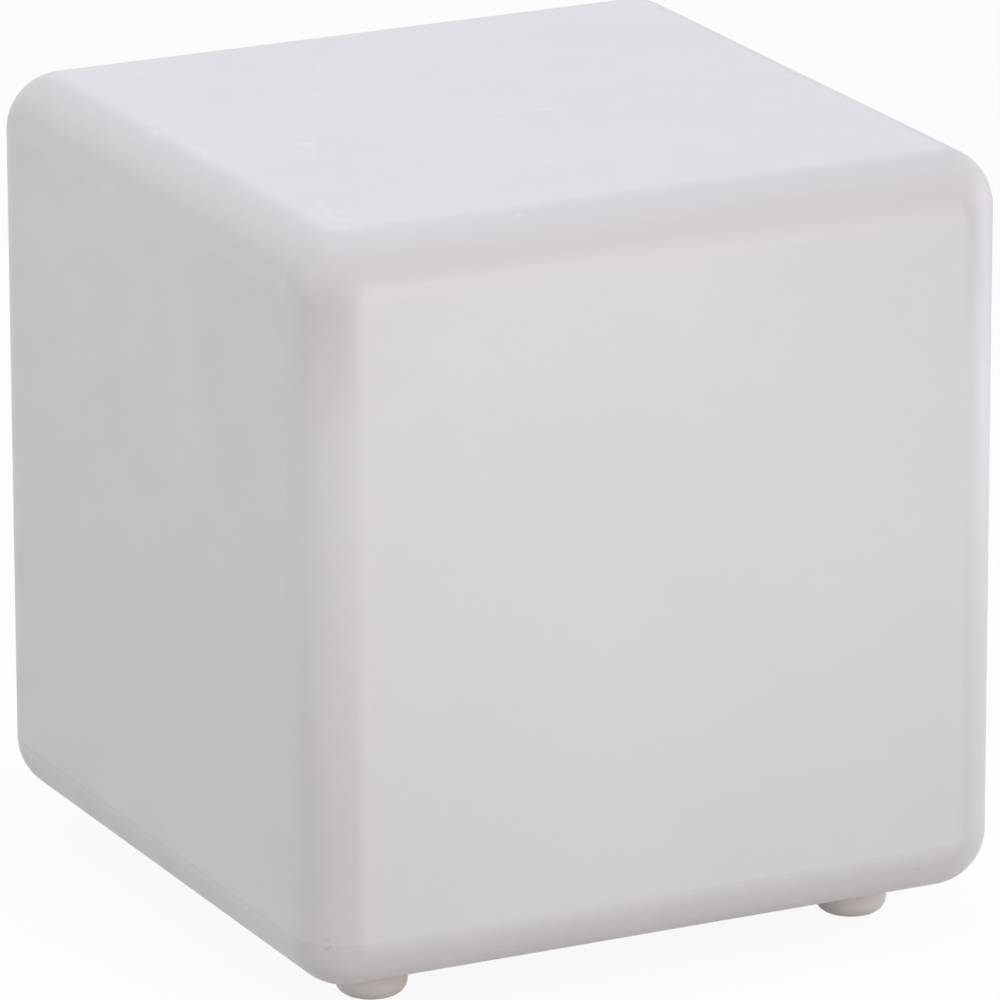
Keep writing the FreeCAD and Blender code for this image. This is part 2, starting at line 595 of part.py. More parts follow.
def make_mount_ring():
    """The ring in the recess: a flange with a neck, ledges for the lugs, and a stop by each."""
    body = new_body("mount_ring")
    turned(body, "flange_and_neck", ((NECK_BORE, FLANGE), (FLANGE_RADIUS, FLANGE),
                                     (FLANGE_RADIUS, FLANGE_TOP), (NECK_RADIUS, FLANGE_TOP),
                                     (NECK_RADIUS, NECK_TOP), (NECK_BORE, NECK_TOP)))
    soften(body, "Fillet", "flange_edge", round_edge(FLANGE_RADIUS, FLANGE), Radius="sizes.flange_rounding")
    root = f"({NECK_BORE} + sizes.neck_wall / 4)"
    ledge = turned(body, "ledge", ring_corners(LEDGE_BORE, root, FLANGE, LEDGE_TOP), angle=LEDGE_ANGLE,
                   reverse=True)
    repeat(body, "ledges", [ledge], "sizes.lock_count")
    stop = turned(body, "stop", ring_corners(LEDGE_BORE, root, FLANGE, NECK_TOP), angle="sizes.lock_stop")
    repeat(body, "stops", [stop], "sizes.lock_count")
    hole = pocket(body, "screw_hole",
                  lambda sketch: draw_circle(sketch, "sizes.ring_screw_radius + sizes.hole_gap",
                                             RING_SCREW_CIRCLE),
                  "2 * sizes.flange_thickness", shift=f"({FLANGE} - sizes.flange_thickness / 2)")
    repeat(body, "screw_holes", [hole], "sizes.ring_screw_count")
    return body


def make_ring_gasket():
    """The flat seal between the recess's roof and the ring's flange, with its screw holes."""
    body = new_body("ring_gasket")
    turned(body, "sheet", ring_corners(f"({OPENING_RADIUS} + sizes.ring_gasket_margin)",
                                       f"({FLANGE_RADIUS} - sizes.ring_gasket_margin)", FLANGE_TOP, ROOF))
    hole = pocket(body, "screw_hole",
                  lambda sketch: draw_circle(sketch, "sizes.ring_screw_radius + sizes.hole_gap",
                                             RING_SCREW_CIRCLE),
                  "2 * sizes.ring_gasket_thickness",
                  shift=f"({FLANGE_TOP} - sizes.ring_gasket_thickness / 2)")
    repeat(body, "screw_holes", [hole], "sizes.ring_screw_count")
    return body


def make_base_plate():
    """The plate that closes the light unit below, with its grip bar, bosses, holes and hinge ears."""
    body = new_body("base_plate")
    turned(body, "disc", ring_corners("0", PLATE_RADIUS, PLATE, PLATE_TOP))
    soften(body, "Fillet", "disc_edge", round_edge(PLATE_RADIUS, PLATE), Radius="sizes.plate_rounding")
    pad(body, "grip_bar",
        lambda sketch: draw_centred_rectangle(sketch, "sizes.bar_length", "sizes.bar_width"),
        "sizes.bar_height", reverse=True, shift=PLATE)
    bar_end = f"({PLATE} - sizes.bar_height)"
    soften(body, "Fillet", "bar_corners",
           lambda edge: upright_edge(edge) and edge.BoundBox.ZMin < size(bar_end) + 0.01,
           Radius="sizes.bar_width / 2 - sizes.flat_left")
    soften(body, "Fillet", "bar_edges", edge_at(bar_end), Radius="sizes.bar_rounding")

    seat = "(sizes.small_head_height + sizes.hole_gap)"
    hole = pocket(body, "column_hole",
                  lambda sketch: draw_circle(sketch, "sizes.small_screw_radius + sizes.hole_gap",
                                             COLUMN_CIRCLE),
                  "2 * sizes.plate_thickness", shift=f"({PLATE} - sizes.plate_thickness / 2)")
    sink = pocket(body, "column_sink",
                  lambda sketch: draw_circle(sketch, "sizes.small_head_radius + sizes.hole_gap",
                                             COLUMN_CIRCLE), seat, shift=PLATE)
    repeat(body, "column_holes", [hole, sink], "sizes.column_count")

    boss = pad(body, "board_boss",
               lambda sketch: draw_circle(sketch, "sizes.board_boss_radius", BOARD_CIRCLE),
               "sizes.board_clearance", shift=PLATE_TOP)
    repeat(body, "board_bosses", [boss], "sizes.board_screw_count")
    boss_hole = pocket(body, "boss_hole",
                       lambda sketch: draw_circle(sketch, "sizes.small_screw_radius + sizes.thread_gap",
                                                  BOARD_CIRCLE),
                       "sizes.small_screw_length", reverse=False, shift=BOARD)
    repeat(body, "boss_holes", [boss_hole], "sizes.board_screw_count")

    ear_side = "(2 * (sizes.barrel_radius + sizes.running_gap / 2))"
    foot_of_ear = f"({HINGE_Z} - {ear_side} / 2)"
    near = "(sizes.barrel_length / 2 + sizes.running_gap)"
    for name, start in (("front_ear", f"({CONTROL_Y} - {near} - sizes.ear_thickness)"),
                        ("rear_ear", f"({CONTROL_Y} + {near})")):
        pad(body, name,
            lambda sketch: draw_rectangle(sketch, f"({HINGE_X} - {ear_side} / 2)", foot_of_ear,
                                          f"({HINGE_X} + {ear_side} / 2)",
                                          f"({PLATE} + sizes.plate_thickness / 2)"),
            "sizes.ear_thickness", plane="XZ_Plane", reverse=True, shift=f"-({start})")
    soften(body, "Fillet", "ear_tips",
           lambda edge: edge_at(foot_of_ear)(edge) and edge.BoundBox.XLength < 0.01,
           Radius=f"{ear_side} / 2 - sizes.flat_left")
    pocket(body, "ear_holes",
           lambda sketch: draw_circle(sketch, "sizes.hinge_pin_radius + sizes.thread_gap", HINGE_X, HINGE_Z),
           f"{near} * 2 + sizes.ear_thickness * 4", plane="XZ_Plane", reverse=False,
           shift=f"-({CONTROL_Y} - {near} - 2 * sizes.ear_thickness)")

    def draw_openings(sketch):
        draw_circle(sketch, "sizes.button_radius + sizes.seat_gap", BUTTON_X, CONTROL_Y)
        draw_circle(sketch, "sizes.socket_radius + sizes.running_gap", SOCKET_X, CONTROL_Y)
        draw_circle(sketch, "sizes.indicator_radius + sizes.thread_gap", "0", INDICATOR_Y)

    pocket(body, "openings", draw_openings, "2 * sizes.plate_thickness",
           shift=f"({PLATE} - sizes.plate_thickness / 2)")
    return body


def make_unit_housing():
    """The light unit's wall, with the shelf for the lamp board, screw columns and locking lugs."""
    body = new_body("unit_housing")
    shelf = f"({LAMP_BOARD} - sizes.shelf_thickness)"
    turned(body, "wall_and_shelf", ((HOUSING_BORE, PLATE_TOP), ("sizes.housing_radius", PLATE_TOP),
                                    ("sizes.housing_radius", RIM), (HOUSING_BORE, RIM),
                                    (HOUSING_BORE, LAMP_BOARD), (SHELF_RADIUS, LAMP_BOARD),
                                    (SHELF_RADIUS, shelf), (HOUSING_BORE, shelf)))
    column = pad(body, "column",
                 lambda sketch: draw_circle(sketch, "sizes.column_radius", COLUMN_CIRCLE),
                 "sizes.housing_height", shift=PLATE_TOP)
    repeat(body, "columns", [column], "sizes.column_count")
    thread = "sizes.small_screw_radius + sizes.thread_gap"
    lower = pocket(body, "lower_hole", lambda sketch: draw_circle(sketch, thread, COLUMN_CIRCLE),
                   "sizes.small_screw_length", shift=PLATE_TOP)
    upper = pocket(body, "upper_hole", lambda sketch: draw_circle(sketch, thread, COLUMN_CIRCLE),
                   "sizes.small_screw_length", reverse=False, shift=RIM)
    repeat(body, "column_holes", [lower, upper], "sizes.column_count")

    boss = pad(body, "board_boss",
               lambda sketch: draw_circle(sketch, "sizes.board_boss_radius", BOARD_CIRCLE),
               "sizes.board_boss_height", reverse=True, shift=LAMP_BOARD)
    repeat(body, "board_bosses", [boss], "sizes.board_screw_count")
    boss_hole = pocket(body, "boss_hole", lambda sketch: draw_circle(sketch, thread, BOARD_CIRCLE),
                       "sizes.board_boss_height", reverse=False, shift=LAMP_BOARD)
    repeat(body, "boss_holes", [boss_hole], "sizes.board_screw_count")

    lug = turned(body, "lug", ring_corners(f"({HOUSING_BORE} + sizes.housing_wall / 2)", LUG_RADIUS, LUG,
                                           f"({LUG} + sizes.lug_thickness)"),
                 angle=LUG_ANGLE, start="-sizes.lock_gap", reverse=True)
    repeat(body, "lugs", [lug], "sizes.lock_count")
    return body


def make_board(label, bottom):
    """A round circuit board with its screw holes."""
    body = new_body(label)
    turned(body, "disc", ring_corners("0", BOARD_RADIUS, bottom, f"({bottom} + sizes.board_thickness)"))
    hole = pocket(body, "screw_hole",
                  lambda sketch: draw_circle(sketch, "sizes.small_screw_radius + sizes.hole_gap",
                                             BOARD_CIRCLE),
                  "2 * sizes.board_thickness", shift=f"({bottom} - sizes.board_thickness / 2)")
    repeat(body, "screw_holes", [hole], "sizes.board_screw_count")
    return body


def make_battery_holder():
    """The tray on the main board, with a trough for each of two cells."""
    body = new_body("battery_holder")
    length = f"(2 * ({TRAY_HALF} + sizes.tray_wall))"
    pad(body, "tray", lambda sketch: draw_centred_rectangle(sketch, length, TRAY_WIDTH), "sizes.tray_height",
        shift=BOARD_TOP)
    soften(body, "Fillet", "tray_corners", upright_edge, Radius="sizes.tray_wall")

    def draw_troughs(sketch):
        for side in ("-", ""):
            draw_centred_rectangle(sketch, f"(2 * {TRAY_HALF})", TROUGH_WIDTH, y=f"({side}{CELL_AWAY})")

    pocket(body, "troughs", draw_troughs, "sizes.tray_height", shift=f"({BOARD_TOP} + sizes.tray_wall)")
    return body


def make_battery_cell(number, side):
    """One cell, lying along X, with its raised end cap on the right."""
    body = new_body(f"battery_cell_{number}")
    sketch = new_sketch(body, "profile", "XY_Plane")
    left = "(-(sizes.cell_length + sizes.cap_height) / 2)"
    shoulder = f"({left} + sizes.cell_length)"
    tip = f"({shoulder} + sizes.cap_height)"
    draw_outline(sketch, ((left, "0"), (left, "sizes.cell_radius"), (shoulder, "sizes.cell_radius"),
                          (shoulder, "sizes.cap_radius"), (tip, "sizes.cap_radius"), (tip, "0")))
    made = feature(body, "Revolution", "cell", sketch)
    made.ReferenceAxis = (sketch, ["H_Axis"])
    made.Angle = 360
    bind(body, Placement__Base__y=f"{side} * {CELL_AWAY}", Placement__Base__z=CELL_AXIS)
    return body


def make_battery_contacts():
    """A sprung metal contact at each end of each trough."""
    body = new_body("battery_contacts")
    half = "(sizes.contact_width / 2)"
    for name, along in (("front", "-1"), ("rear", "1")):
        for side, start in (("left", f"(-{TRAY_HALF})"),
                            ("right", f"({TRAY_HALF} - sizes.contact_thickness)")):
            middle = f"({along} * {CELL_AWAY})"
            pad(body, f"{name}_{side}",
                lambda sketch: draw_rectangle(sketch, start, f"({middle} - {half})",
                                              f"({start} + sizes.contact_thickness)", f"({middle} + {half})"),
                f"sizes.cell_radius + {half}", shift=f"({BOARD_TOP} + sizes.tray_wall)")
    return body


def make_block(label, x, y, bottom, length, width, height, radius=None):
    """A small rectangular part; with a radius, a round hole goes up through its middle."""
    body = new_body(label)
    pad(body, "block", lambda sketch: draw_centred_rectangle(sketch, length, width, x, y), height,
        shift=bottom)
    if radius:
        pocket(body, "hole", lambda sketch: draw_circle(sketch, radius, x, y), height, shift=bottom)
    return body


def make_round(label, x, y, sections):
    """A round part about an upright line, from pairs of (radius, level) up its outside."""
    body = new_body(label)
    corners = [("0", sections[0][1])] + list(sections) + [("0", sections[-1][1])]
    turned(body, "round", corners, x=x, y=y)
    return body


def make_seal():
    """The seal ring on the base plate, around the button's hole."""
    body = new_body("button_seal")
    turned(body, "ring", ring_corners("(sizes.button_radius + sizes.seat_gap)",
                                      "(sizes.button_radius + sizes.button_flange)", PLATE_TOP,
                                      f"({PLATE_TOP} + sizes.button_seal_thickness)"),
           x=BUTTON_X, y=CONTROL_Y)
    return body


def make_charge_socket():
    """The socket on the main board, mouth down, for the charger's round plug."""
    body = new_body("charge_socket")
    turned(body, "socket", (("0", SOCKET_CEILING), ("sizes.socket_bore_radius", SOCKET_CEILING),
                            ("sizes.socket_bore_radius", SOCKET), ("sizes.socket_radius", SOCKET),
                            ("sizes.socket_radius", BOARD), ("0", BOARD)), x=SOCKET_X, y=CONTROL_Y)
    return body


def make_power_button():
    """The button: a round cap below the plate, a collar that keeps it in, and a stem."""
    body = new_body("power_button")
    face = f"({PLATE} - sizes.button_proud)"
    collar = f"({PLATE_TOP} + sizes.button_seal_thickness + sizes.running_gap)"
    collar_top = f"({collar} + sizes.button_flange_thickness)"
    collar_radius = "(sizes.button_radius + sizes.button_flange)"
    turned(body, "cap_and_stem", (("0", face), ("sizes.button_radius", face),
                                  ("sizes.button_radius", collar), (collar_radius, collar),
                                  (collar_radius, collar_top), ("sizes.stem_radius", collar_top),
                                  ("sizes.stem_radius", STEM_TOP), ("0", STEM_TOP)),
           x=BUTTON_X, y=CONTROL_Y)
    soften(body, "Fillet", "cap_edge", round_edge("sizes.button_radius", face),
           Radius="sizes.button_proud / 2")
    return body


def make_socket_cover():
    """The hinged cover of the socket: a flap, a barrel on its right and a boss in the hole."""
    body = new_body("socket_cover")
    top = f"({PLATE} - sizes.running_gap)"
    left = f"({HINGE_X} - sizes.cover_length)"
    pad(body, "flap",
        lambda sketch: draw_rectangle(sketch, left, f"({CONTROL_Y} - sizes.cover_width / 2)",
                                      f"({HINGE_X} - sizes.barrel_radius - sizes.running_gap * 2)",
                                      f"({CONTROL_Y} + sizes.cover_width / 2)"),
        "sizes.cover_thickness", reverse=True, shift=top)
    soften(body, "Fillet", "flap_corners",
           lambda edge: upright_edge(edge) and edge.BoundBox.XMin < size(left) + 0.01,
           Radius="sizes.cover_rounding")
    pad(body, "barrel_web",
        lambda sketch: draw_rectangle(sketch, f"({HINGE_X} - sizes.cover_rounding)",
                                      f"({CONTROL_Y} - sizes.barrel_length / 2)", HINGE_X,
                                      f"({CONTROL_Y} + sizes.barrel_length / 2)"),
        "sizes.cover_thickness", reverse=True, shift=top)
    barrel_start = f"({CONTROL_Y} - sizes.barrel_length / 2)"
    pad(body, "barrel", lambda sketch: draw_circle(sketch, "sizes.barrel_radius", HINGE_X, HINGE_Z),
        "sizes.barrel_length", plane="XZ_Plane", reverse=True, shift=f"-({barrel_start})")
    pad(body, "plug", lambda sketch: draw_circle(sketch, "sizes.cover_plug_radius", SOCKET_X, CONTROL_Y),
        f"{SOCKET} - sizes.cover_plug_gap - {top}", shift=top)
    pad(body, "tab",
        lambda sketch: draw_rectangle(sketch, left, f"({CONTROL_Y} - sizes.cover_width / 4)",
                                      f"({left} + sizes.cover_tab_length)",
                                      f"({CONTROL_Y} + sizes.cover_width / 4)"),
        "sizes.cover_thickness + sizes.cover_tab_height", reverse=True, shift=top)
    pocket(body, "barrel_bore",
           lambda sketch: draw_circle(sketch, "sizes.hinge_pin_radius + sizes.thread_gap", HINGE_X, HINGE_Z),
           "2 * sizes.barrel_length", plane="XZ_Plane", reverse=False,
           shift=f"-({barrel_start} - sizes.barrel_length / 2)")
    return body


def make_hinge_pin():
    """The steel pin through the ears and the cover's barrel."""
    body = new_body("cover_hinge_pin")
    half = "(sizes.barrel_length / 2 + sizes.running_gap + sizes.ear_thickness)"
    pad(body, "pin", lambda sketch: draw_circle(sketch, "sizes.hinge_pin_radius", HINGE_X, HINGE_Z),
        f"2 * {half}", plane="XZ_Plane", reverse=True, shift=f"-({CONTROL_Y} - {half})")
    return body


def make_lamp_chips():
    """Two circles of lamp chips on the lamp board, each square to its circle."""
    body = new_body("lamp_chips")
    side = "sizes.lamp_side"
    for name, circle in (("inner", "sizes.inner_lamp_circle"), ("outer", OUTER_LAMP_CIRCLE)):
        chip = pad(body, f"{name}_chip", lambda sketch: draw_centred_rectangle(sketch, side, side, circle),
                   "sizes.lamp_height", shift=LAMP_BOARD_TOP)
        repeat(body, f"{name}_chips", [chip], f"sizes.{name}_lamp_count")
    return body


def make_receiver():
    """The remote control's receiver in the middle of the lamp board, with its round lens."""
    body = new_body("remote_receiver")
    pad(body, "case", lambda sketch: draw_centred_rectangle(sketch, "sizes.receiver_side",
                                                            "sizes.receiver_side"),
        "sizes.receiver_height", shift=LAMP_BOARD_TOP)
    top = f"({LAMP_BOARD_TOP} + sizes.receiver_height)"
    turned(body, "lens", ring_corners("0", "sizes.receiver_lens_radius", top,
                                      f"({top} + sizes.receiver_lens_radius)"))
    soften(body, "Fillet", "lens_edge",
           round_edge("sizes.receiver_lens_radius", f"({top} + sizes.receiver_lens_radius)"),
           Radius="sizes.receiver_lens_radius - sizes.flat_left")
    return body


def make_lead_plugs():
    """The lamp lead's two plugs: one on the main board, one under the lamp board."""
    body = new_body("lead_plugs")
    for name, bottom in (("lower", BOARD_TOP), ("upper", f"({LAMP_BOARD} - sizes.plug_height)")):
        pad(body, f"{name}_plug",
            lambda sketch: draw_centred_rectangle(sketch, "sizes.plug_length", "sizes.plug_width",
                                                  y=LEAD_Y), "sizes.plug_height", shift=bottom)
    return body


def make_lamp_lead():
    """The four cores between the two plugs."""
    body = new_body("lamp_lead")

    def draw_cores(sketch):
        for steps in ("-1.5", "-0.5", "0.5", "1.5"):
            draw_circle(sketch, "sizes.lead_radius", f"({steps} * sizes.lead_pitch)", LEAD_Y)

    start = f"({BOARD_TOP} + sizes.plug_height)"
    pad(body, "cores", draw_cores, f"{LAMP_BOARD} - sizes.plug_height - {start}", shift=start)
    return body


def make_dome():
    """The clear dome over the lamps, with its screwed flange."""
    inner_radius = f"({DOME_RADIUS} - sizes.dome_wall)"
    inner_height = "(sizes.dome_height - sizes.dome_wall)"
    caps = []
    for name, radius, height in (("dome_outside", DOME_RADIUS, "sizes.dome_height"),
                                 ("dome_inside", inner_radius, inner_height)):
        sphere = doc.addObject("Part::Sphere", name)
        ball = f"(({radius} ^ 2 + {height} ^ 2) / (2 * {height}))"
        bind(sphere, Radius=ball, Angle1=f"asin(({ball} - {height}) / {ball})")
        bind(sphere, Placement__Base__z=f"{DOME_BASE} + {height} - {ball}")
        caps.append(sphere)
    flange = new_body("dome_flange")
    turned(flange, "flange", ring_corners(inner_radius, "sizes.housing_radius", DOME_FLANGE, DOME_BASE))
    hole = pocket(flange, "screw_hole",
                  lambda sketch: draw_circle(sketch, "sizes.small_screw_radius + sizes.hole_gap",
                                             COLUMN_CIRCLE),
                  "2 * sizes.dome_flange_thickness",
                  shift=f"({DOME_FLANGE} - sizes.dome_flange_thickness / 2)")
    repeat(flange, "screw_holes", [hole], "sizes.column_count")
    return joined("diffuser_dome", flange, cut_away("dome_cap", *caps))


def small_screws(label, count, circle, seat, upward):
    """A group of the light unit's small screws."""
    return make_screws(label, count, circle, seat, upward, "sizes.small_screw_radius",
                       "sizes.small_screw_length", "sizes.small_head_radius", "sizes.small_head_height")


def make_all():
    """Every sub-part of the light, in the order in which it is put together."""
    parts = [make_shell()]
    parts += [make_foot(*corner) for corner in CORNERS]
    parts.append(make_foot_screws())
    parts.append(make_corner_rings("foot_washers", "sizes.foot_screw_radius + sizes.hole_gap",
                                   "sizes.washer_radius", FOOT_WASHER, FOOT_SEAT))
    parts.append(make_corner_rings("foot_inserts", "sizes.foot_screw_radius + sizes.thread_gap",
                                   "sizes.insert_radius", SHELL_FLOOR,
                                   f"({SHELL_FLOOR} + sizes.insert_length - sizes.hole_gap)"))
    parts.append(make_mount_ring())
    parts.append(make_ring_gasket())
    parts.append(make_screws("ring_screws", "sizes.ring_screw_count", RING_SCREW_CIRCLE, FLANGE, True,
                             "sizes.ring_screw_radius", "sizes.ring_screw_length",
                             "(2 * sizes.ring_screw_radius)", "(1.2 * sizes.ring_screw_radius)"))
    parts.append(make_base_plate())
    parts.append(make_ring("unit_gasket", "(sizes.housing_radius + sizes.seat_gap)",
                           f"({PLATE_RADIUS} - sizes.seat_gap)", PLATE_TOP, UNIT_GASKET_TOP))
    parts.append(make_unit_housing())
    parts.append(small_screws("housing_screws", "sizes.column_count", COLUMN_CIRCLE,
                              f"({PLATE} + sizes.small_head_height + sizes.hole_gap)", True))
    parts.append(make_board("main_board", BOARD))
    parts.append(small_screws("board_screws", "sizes.board_screw_count", BOARD_CIRCLE, BOARD_TOP,
                              False))
    parts.append(make_battery_holder())
    parts.append(make_battery_contacts())
    parts.append(make_battery_cell(1, -1))
    parts.append(make_battery_cell(2, 1))
    parts.append(make_block("push_switch", BUTTON_X, CONTROL_Y, SWITCH, "sizes.switch_side",
                            "sizes.switch_side", "sizes.switch_height",
                            "sizes.plunger_radius + sizes.running_gap"))
    parts.append(make_round("switch_plunger", BUTTON_X, CONTROL_Y,
                            (("sizes.plunger_radius", STEM_TOP),
                             ("sizes.plunger_radius", f"({SWITCH} + sizes.plunger_depth)"))))
    parts.append(make_power_button())
    parts.append(make_seal())
    parts.append(make_charge_socket())
    parts.append(make_round("socket_pin", SOCKET_X, CONTROL_Y,
                            (("sizes.socket_pin_radius", f"({SOCKET} + sizes.socket_pin_short)"),
                             ("sizes.socket_pin_radius", SOCKET_CEILING))))
    parts.append(make_socket_cover())
    parts.append(make_hinge_pin())
    collar_radius = "(sizes.indicator_radius + sizes.indicator_collar)"
    collar_top = f"({PLATE_TOP} + sizes.indicator_collar)"
    parts.append(make_round("indicator_lens", "0", INDICATOR_Y,
                            (("sizes.indicator_radius", f"({PLATE} - sizes.indicator_proud)"),
                             ("sizes.indicator_radius", PLATE_TOP), (collar_radius, PLATE_TOP),
                             (collar_radius, collar_top), ("sizes.indicator_radius", collar_top),
                             ("sizes.indicator_radius",
                              f"({BOARD} - sizes.status_lamp_height - sizes.running_gap)"))))
    parts.append(make_round("status_lamp", "0", INDICATOR_Y,
                            (("sizes.status_lamp_radius", f"({BOARD} - sizes.status_lamp_height)"),
                             ("sizes.status_lamp_radius", BOARD))))
    parts.append(make_block("control_chip", "0", INDICATOR_Y, BOARD_TOP, "sizes.chip_length",
                            "sizes.chip_width", "sizes.chip_height"))
    parts.append(make_round("charge_coil", f"(sizes.coil_inset - {BOARD_RADIUS})", COIL_Y,
                            (("sizes.coil_radius", BOARD_TOP),
                             ("sizes.coil_radius", f"({BOARD_TOP} + sizes.coil_height)"))))
    parts.append(make_round("storage_capacitor", f"({BOARD_RADIUS} - sizes.capacitor_inset)", COIL_Y,
                            (("sizes.capacitor_radius", BOARD_TOP),
                             ("sizes.capacitor_radius", f"({BOARD_TOP} + sizes.capacitor_height)"))))
    parts.append(make_lead_plugs())
    parts.append(make_lamp_lead())
    parts.append(make_board("lamp_board", LAMP_BOARD))
    parts.append(small_screws("lamp_board_screws", "sizes.board_screw_count", BOARD_CIRCLE,
                              LAMP_BOARD_TOP, False))
    parts.append(make_lamp_chips())
    parts.append(make_receiver())
    parts.append(make_ring("dome_gasket", f"({HOUSING_BORE} + sizes.thread_gap)",
                           "(sizes.housing_radius - sizes.thread_gap)", RIM, DOME_FLANGE))
    parts.append(make_dome())
    parts.append(small_screws("dome_screws", "sizes.column_count", COLUMN_CIRCLE, DOME_BASE,
                              False))
    return parts


parts = make_all()
doc.recompute()
for thing in doc.Objects:
    if "Invalid" in thing.State or "Error" in thing.State:
        raise RuntimeError(f"{thing.Label} did not build: {thing.State}")
for part in parts:
    if part.Shape.isNull() or not part.Shape.isValid():
        raise RuntimeError(f"{part.Label} has no valid shape")
os.makedirs("parts", exist_ok=True)
for part in parts:
    part.Shape.exportStep(f"parts/{part.Label}.step")
    print(f"{part.Label}: {len(part.Shape.Solids)} solid(s), {part.Shape.Volume:.0f} mm3")
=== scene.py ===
import json
from math import cos, pi, radians, sin

import bmesh
import bpy
from bpy.props import FloatProperty, FloatVectorProperty, IntProperty, PointerProperty
from mathutils import Matrix, Vector


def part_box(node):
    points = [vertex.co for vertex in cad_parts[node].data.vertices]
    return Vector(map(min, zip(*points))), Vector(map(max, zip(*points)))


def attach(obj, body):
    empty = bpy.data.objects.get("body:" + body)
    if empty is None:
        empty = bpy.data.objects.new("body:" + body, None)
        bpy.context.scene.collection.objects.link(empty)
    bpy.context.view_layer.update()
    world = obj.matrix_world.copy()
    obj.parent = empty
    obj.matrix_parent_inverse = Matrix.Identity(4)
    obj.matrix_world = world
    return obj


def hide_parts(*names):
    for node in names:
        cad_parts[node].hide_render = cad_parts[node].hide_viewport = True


bl_info = {
    "name": "LED Cube Light",
    "version": (1, 0, 0),
    "blender": (4, 5, 0),
    "location": "3D View > Sidebar > Cube Light",
    "description": "Builds the looks of a rounded cube light around its packed CAD frame",
    "category": "Object",
}

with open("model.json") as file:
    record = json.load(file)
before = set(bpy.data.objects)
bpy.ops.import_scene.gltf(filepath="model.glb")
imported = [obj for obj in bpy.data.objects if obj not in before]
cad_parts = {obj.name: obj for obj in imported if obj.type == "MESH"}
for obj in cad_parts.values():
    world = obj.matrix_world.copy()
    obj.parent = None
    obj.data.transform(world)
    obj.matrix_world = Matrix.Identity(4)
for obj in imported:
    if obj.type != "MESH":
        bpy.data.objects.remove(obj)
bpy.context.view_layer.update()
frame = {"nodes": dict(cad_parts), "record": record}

# Levels and places that the frame gives.
SHELL_LOW, SHELL_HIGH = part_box("shell")
FOOT_LOW, FOOT_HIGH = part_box("foot_front_right")
RING_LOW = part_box("mount_ring")[0]
PLATE_LOW, PLATE_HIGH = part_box("base_plate")
GASKET_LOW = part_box("unit_gasket")[0]
BUTTON_LOW, BUTTON_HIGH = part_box("power_button")
COVER_LOW, COVER_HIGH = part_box("socket_cover")
PIN_LOW, PIN_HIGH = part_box("cover_hinge_pin")


def middle_of(name):
    low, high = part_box(name)
    return (low + high) / 2


BUTTON_CENTRE = middle_of("power_button")
SOCKET_CENTRE = middle_of("charge_socket")
LENS_CENTRE = middle_of("indicator_lens")
PIN_CENTRE = middle_of("cover_hinge_pin")
FOOT_CENTRE = middle_of("foot_front_right")
FOOT_PLACES = {f"{row}_{side}": (across * FOOT_CENTRE.x, along * FOOT_CENTRE.y)
               for row, along in (("front", 1), ("rear", -1))
               for side, across in (("left", -1), ("right", 1))}

# Points nearer than this are the same point.
FINE = 1e-6
WHITE = (1, 1, 1, 1)
# Edges with a larger angle than this between their faces are shaded as sharp.
SHARP = radians(40)


def length(default, description):
    """A size in metres."""
    return FloatProperty(default=default, description=description, min=0, unit="LENGTH", precision=5)


def place(default, description):
    """A coordinate in metres, of either sign."""
    return FloatProperty(default=default, description=description, unit="LENGTH", precision=5)


def angle(degrees, description):
    return FloatProperty(default=radians(degrees), description=description, subtype="ANGLE")


def power(default, description):
    """A lamp's power in watts."""
    return FloatProperty(default=default, description=description, min=0, unit="POWER")


def count(default, description):
    return IntProperty(default=default, description=description, min=1)


def colour(default, description):
    """A linear colour."""
    return FloatVectorProperty(default=default, description=description, size=3, min=0, max=1,
                               subtype="COLOR")


def labelled(group):
    """Labels each property of a group with its identifier in plain words."""
    for identifier, prop in group.__annotations__.items():
        prop.keywords["name"] = identifier.replace("_", " ").title()
    return group


@labelled
class ShellSizes(bpy.types.PropertyGroup):
    """Sizes of the moulded shell."""

    side: length(0.4, "Width, depth and height of the shell")
    edge_radius: length(0.031, "Rounding of all edges and corners")
    edge_steps: count(20, "Facets across an edge rounding")
    wall: length(0.004, "Thickness of the moulded wall")
    parting_height: length(0.030, "Parting line, above the underside")
    parting_width: length(0.0014, "Raised parting line")
    parting_proud: length(0.00006, "Parting line, out of the faces")
    nib_radius: length(0.0045, "Vent nib on the top face")
    nib_height: length(0.001, "Vent nib on the top face")
    nib_across: place(-0.118, "Vent nib, across the top face")
    nib_along: place(-0.022, "Vent nib, along the top face")
    recess_radius: length(0.105, "Round recess in the underside")
    recess_depth: length(0.022, "Round recess in the underside")
    recess_rounding: length(0.003, "Rim and inner corner of the recess")
    opening_radius: length(0.075, "Opening in the roof of the recess")
    insert_radius: length(0.0047, "Hole for a foot's brass insert")
    insert_depth: length(0.012, "Hole for a foot's brass insert")
    boss_radius: length(0.0099, "Plastic around a foot's insert")
    boss_height: length(0.015, "Boss of a foot, from the underside")
    boss_rounding: length(0.001, "Upper edge of a boss")


@labelled
class FootSizes(bpy.types.PropertyGroup):
    """Sizes of the round feet."""

    rounding: length(0.008, "Lower edge of a foot")
    bore_radius: length(0.0072, "Counterbore for the screw's head")
    bore_depth: length(0.0115, "Counterbore for the screw's head")
    screw_radius: length(0.0032, "Hole for the screw")
    lip: length(0.0006, "Small rounding of the foot's other edges")


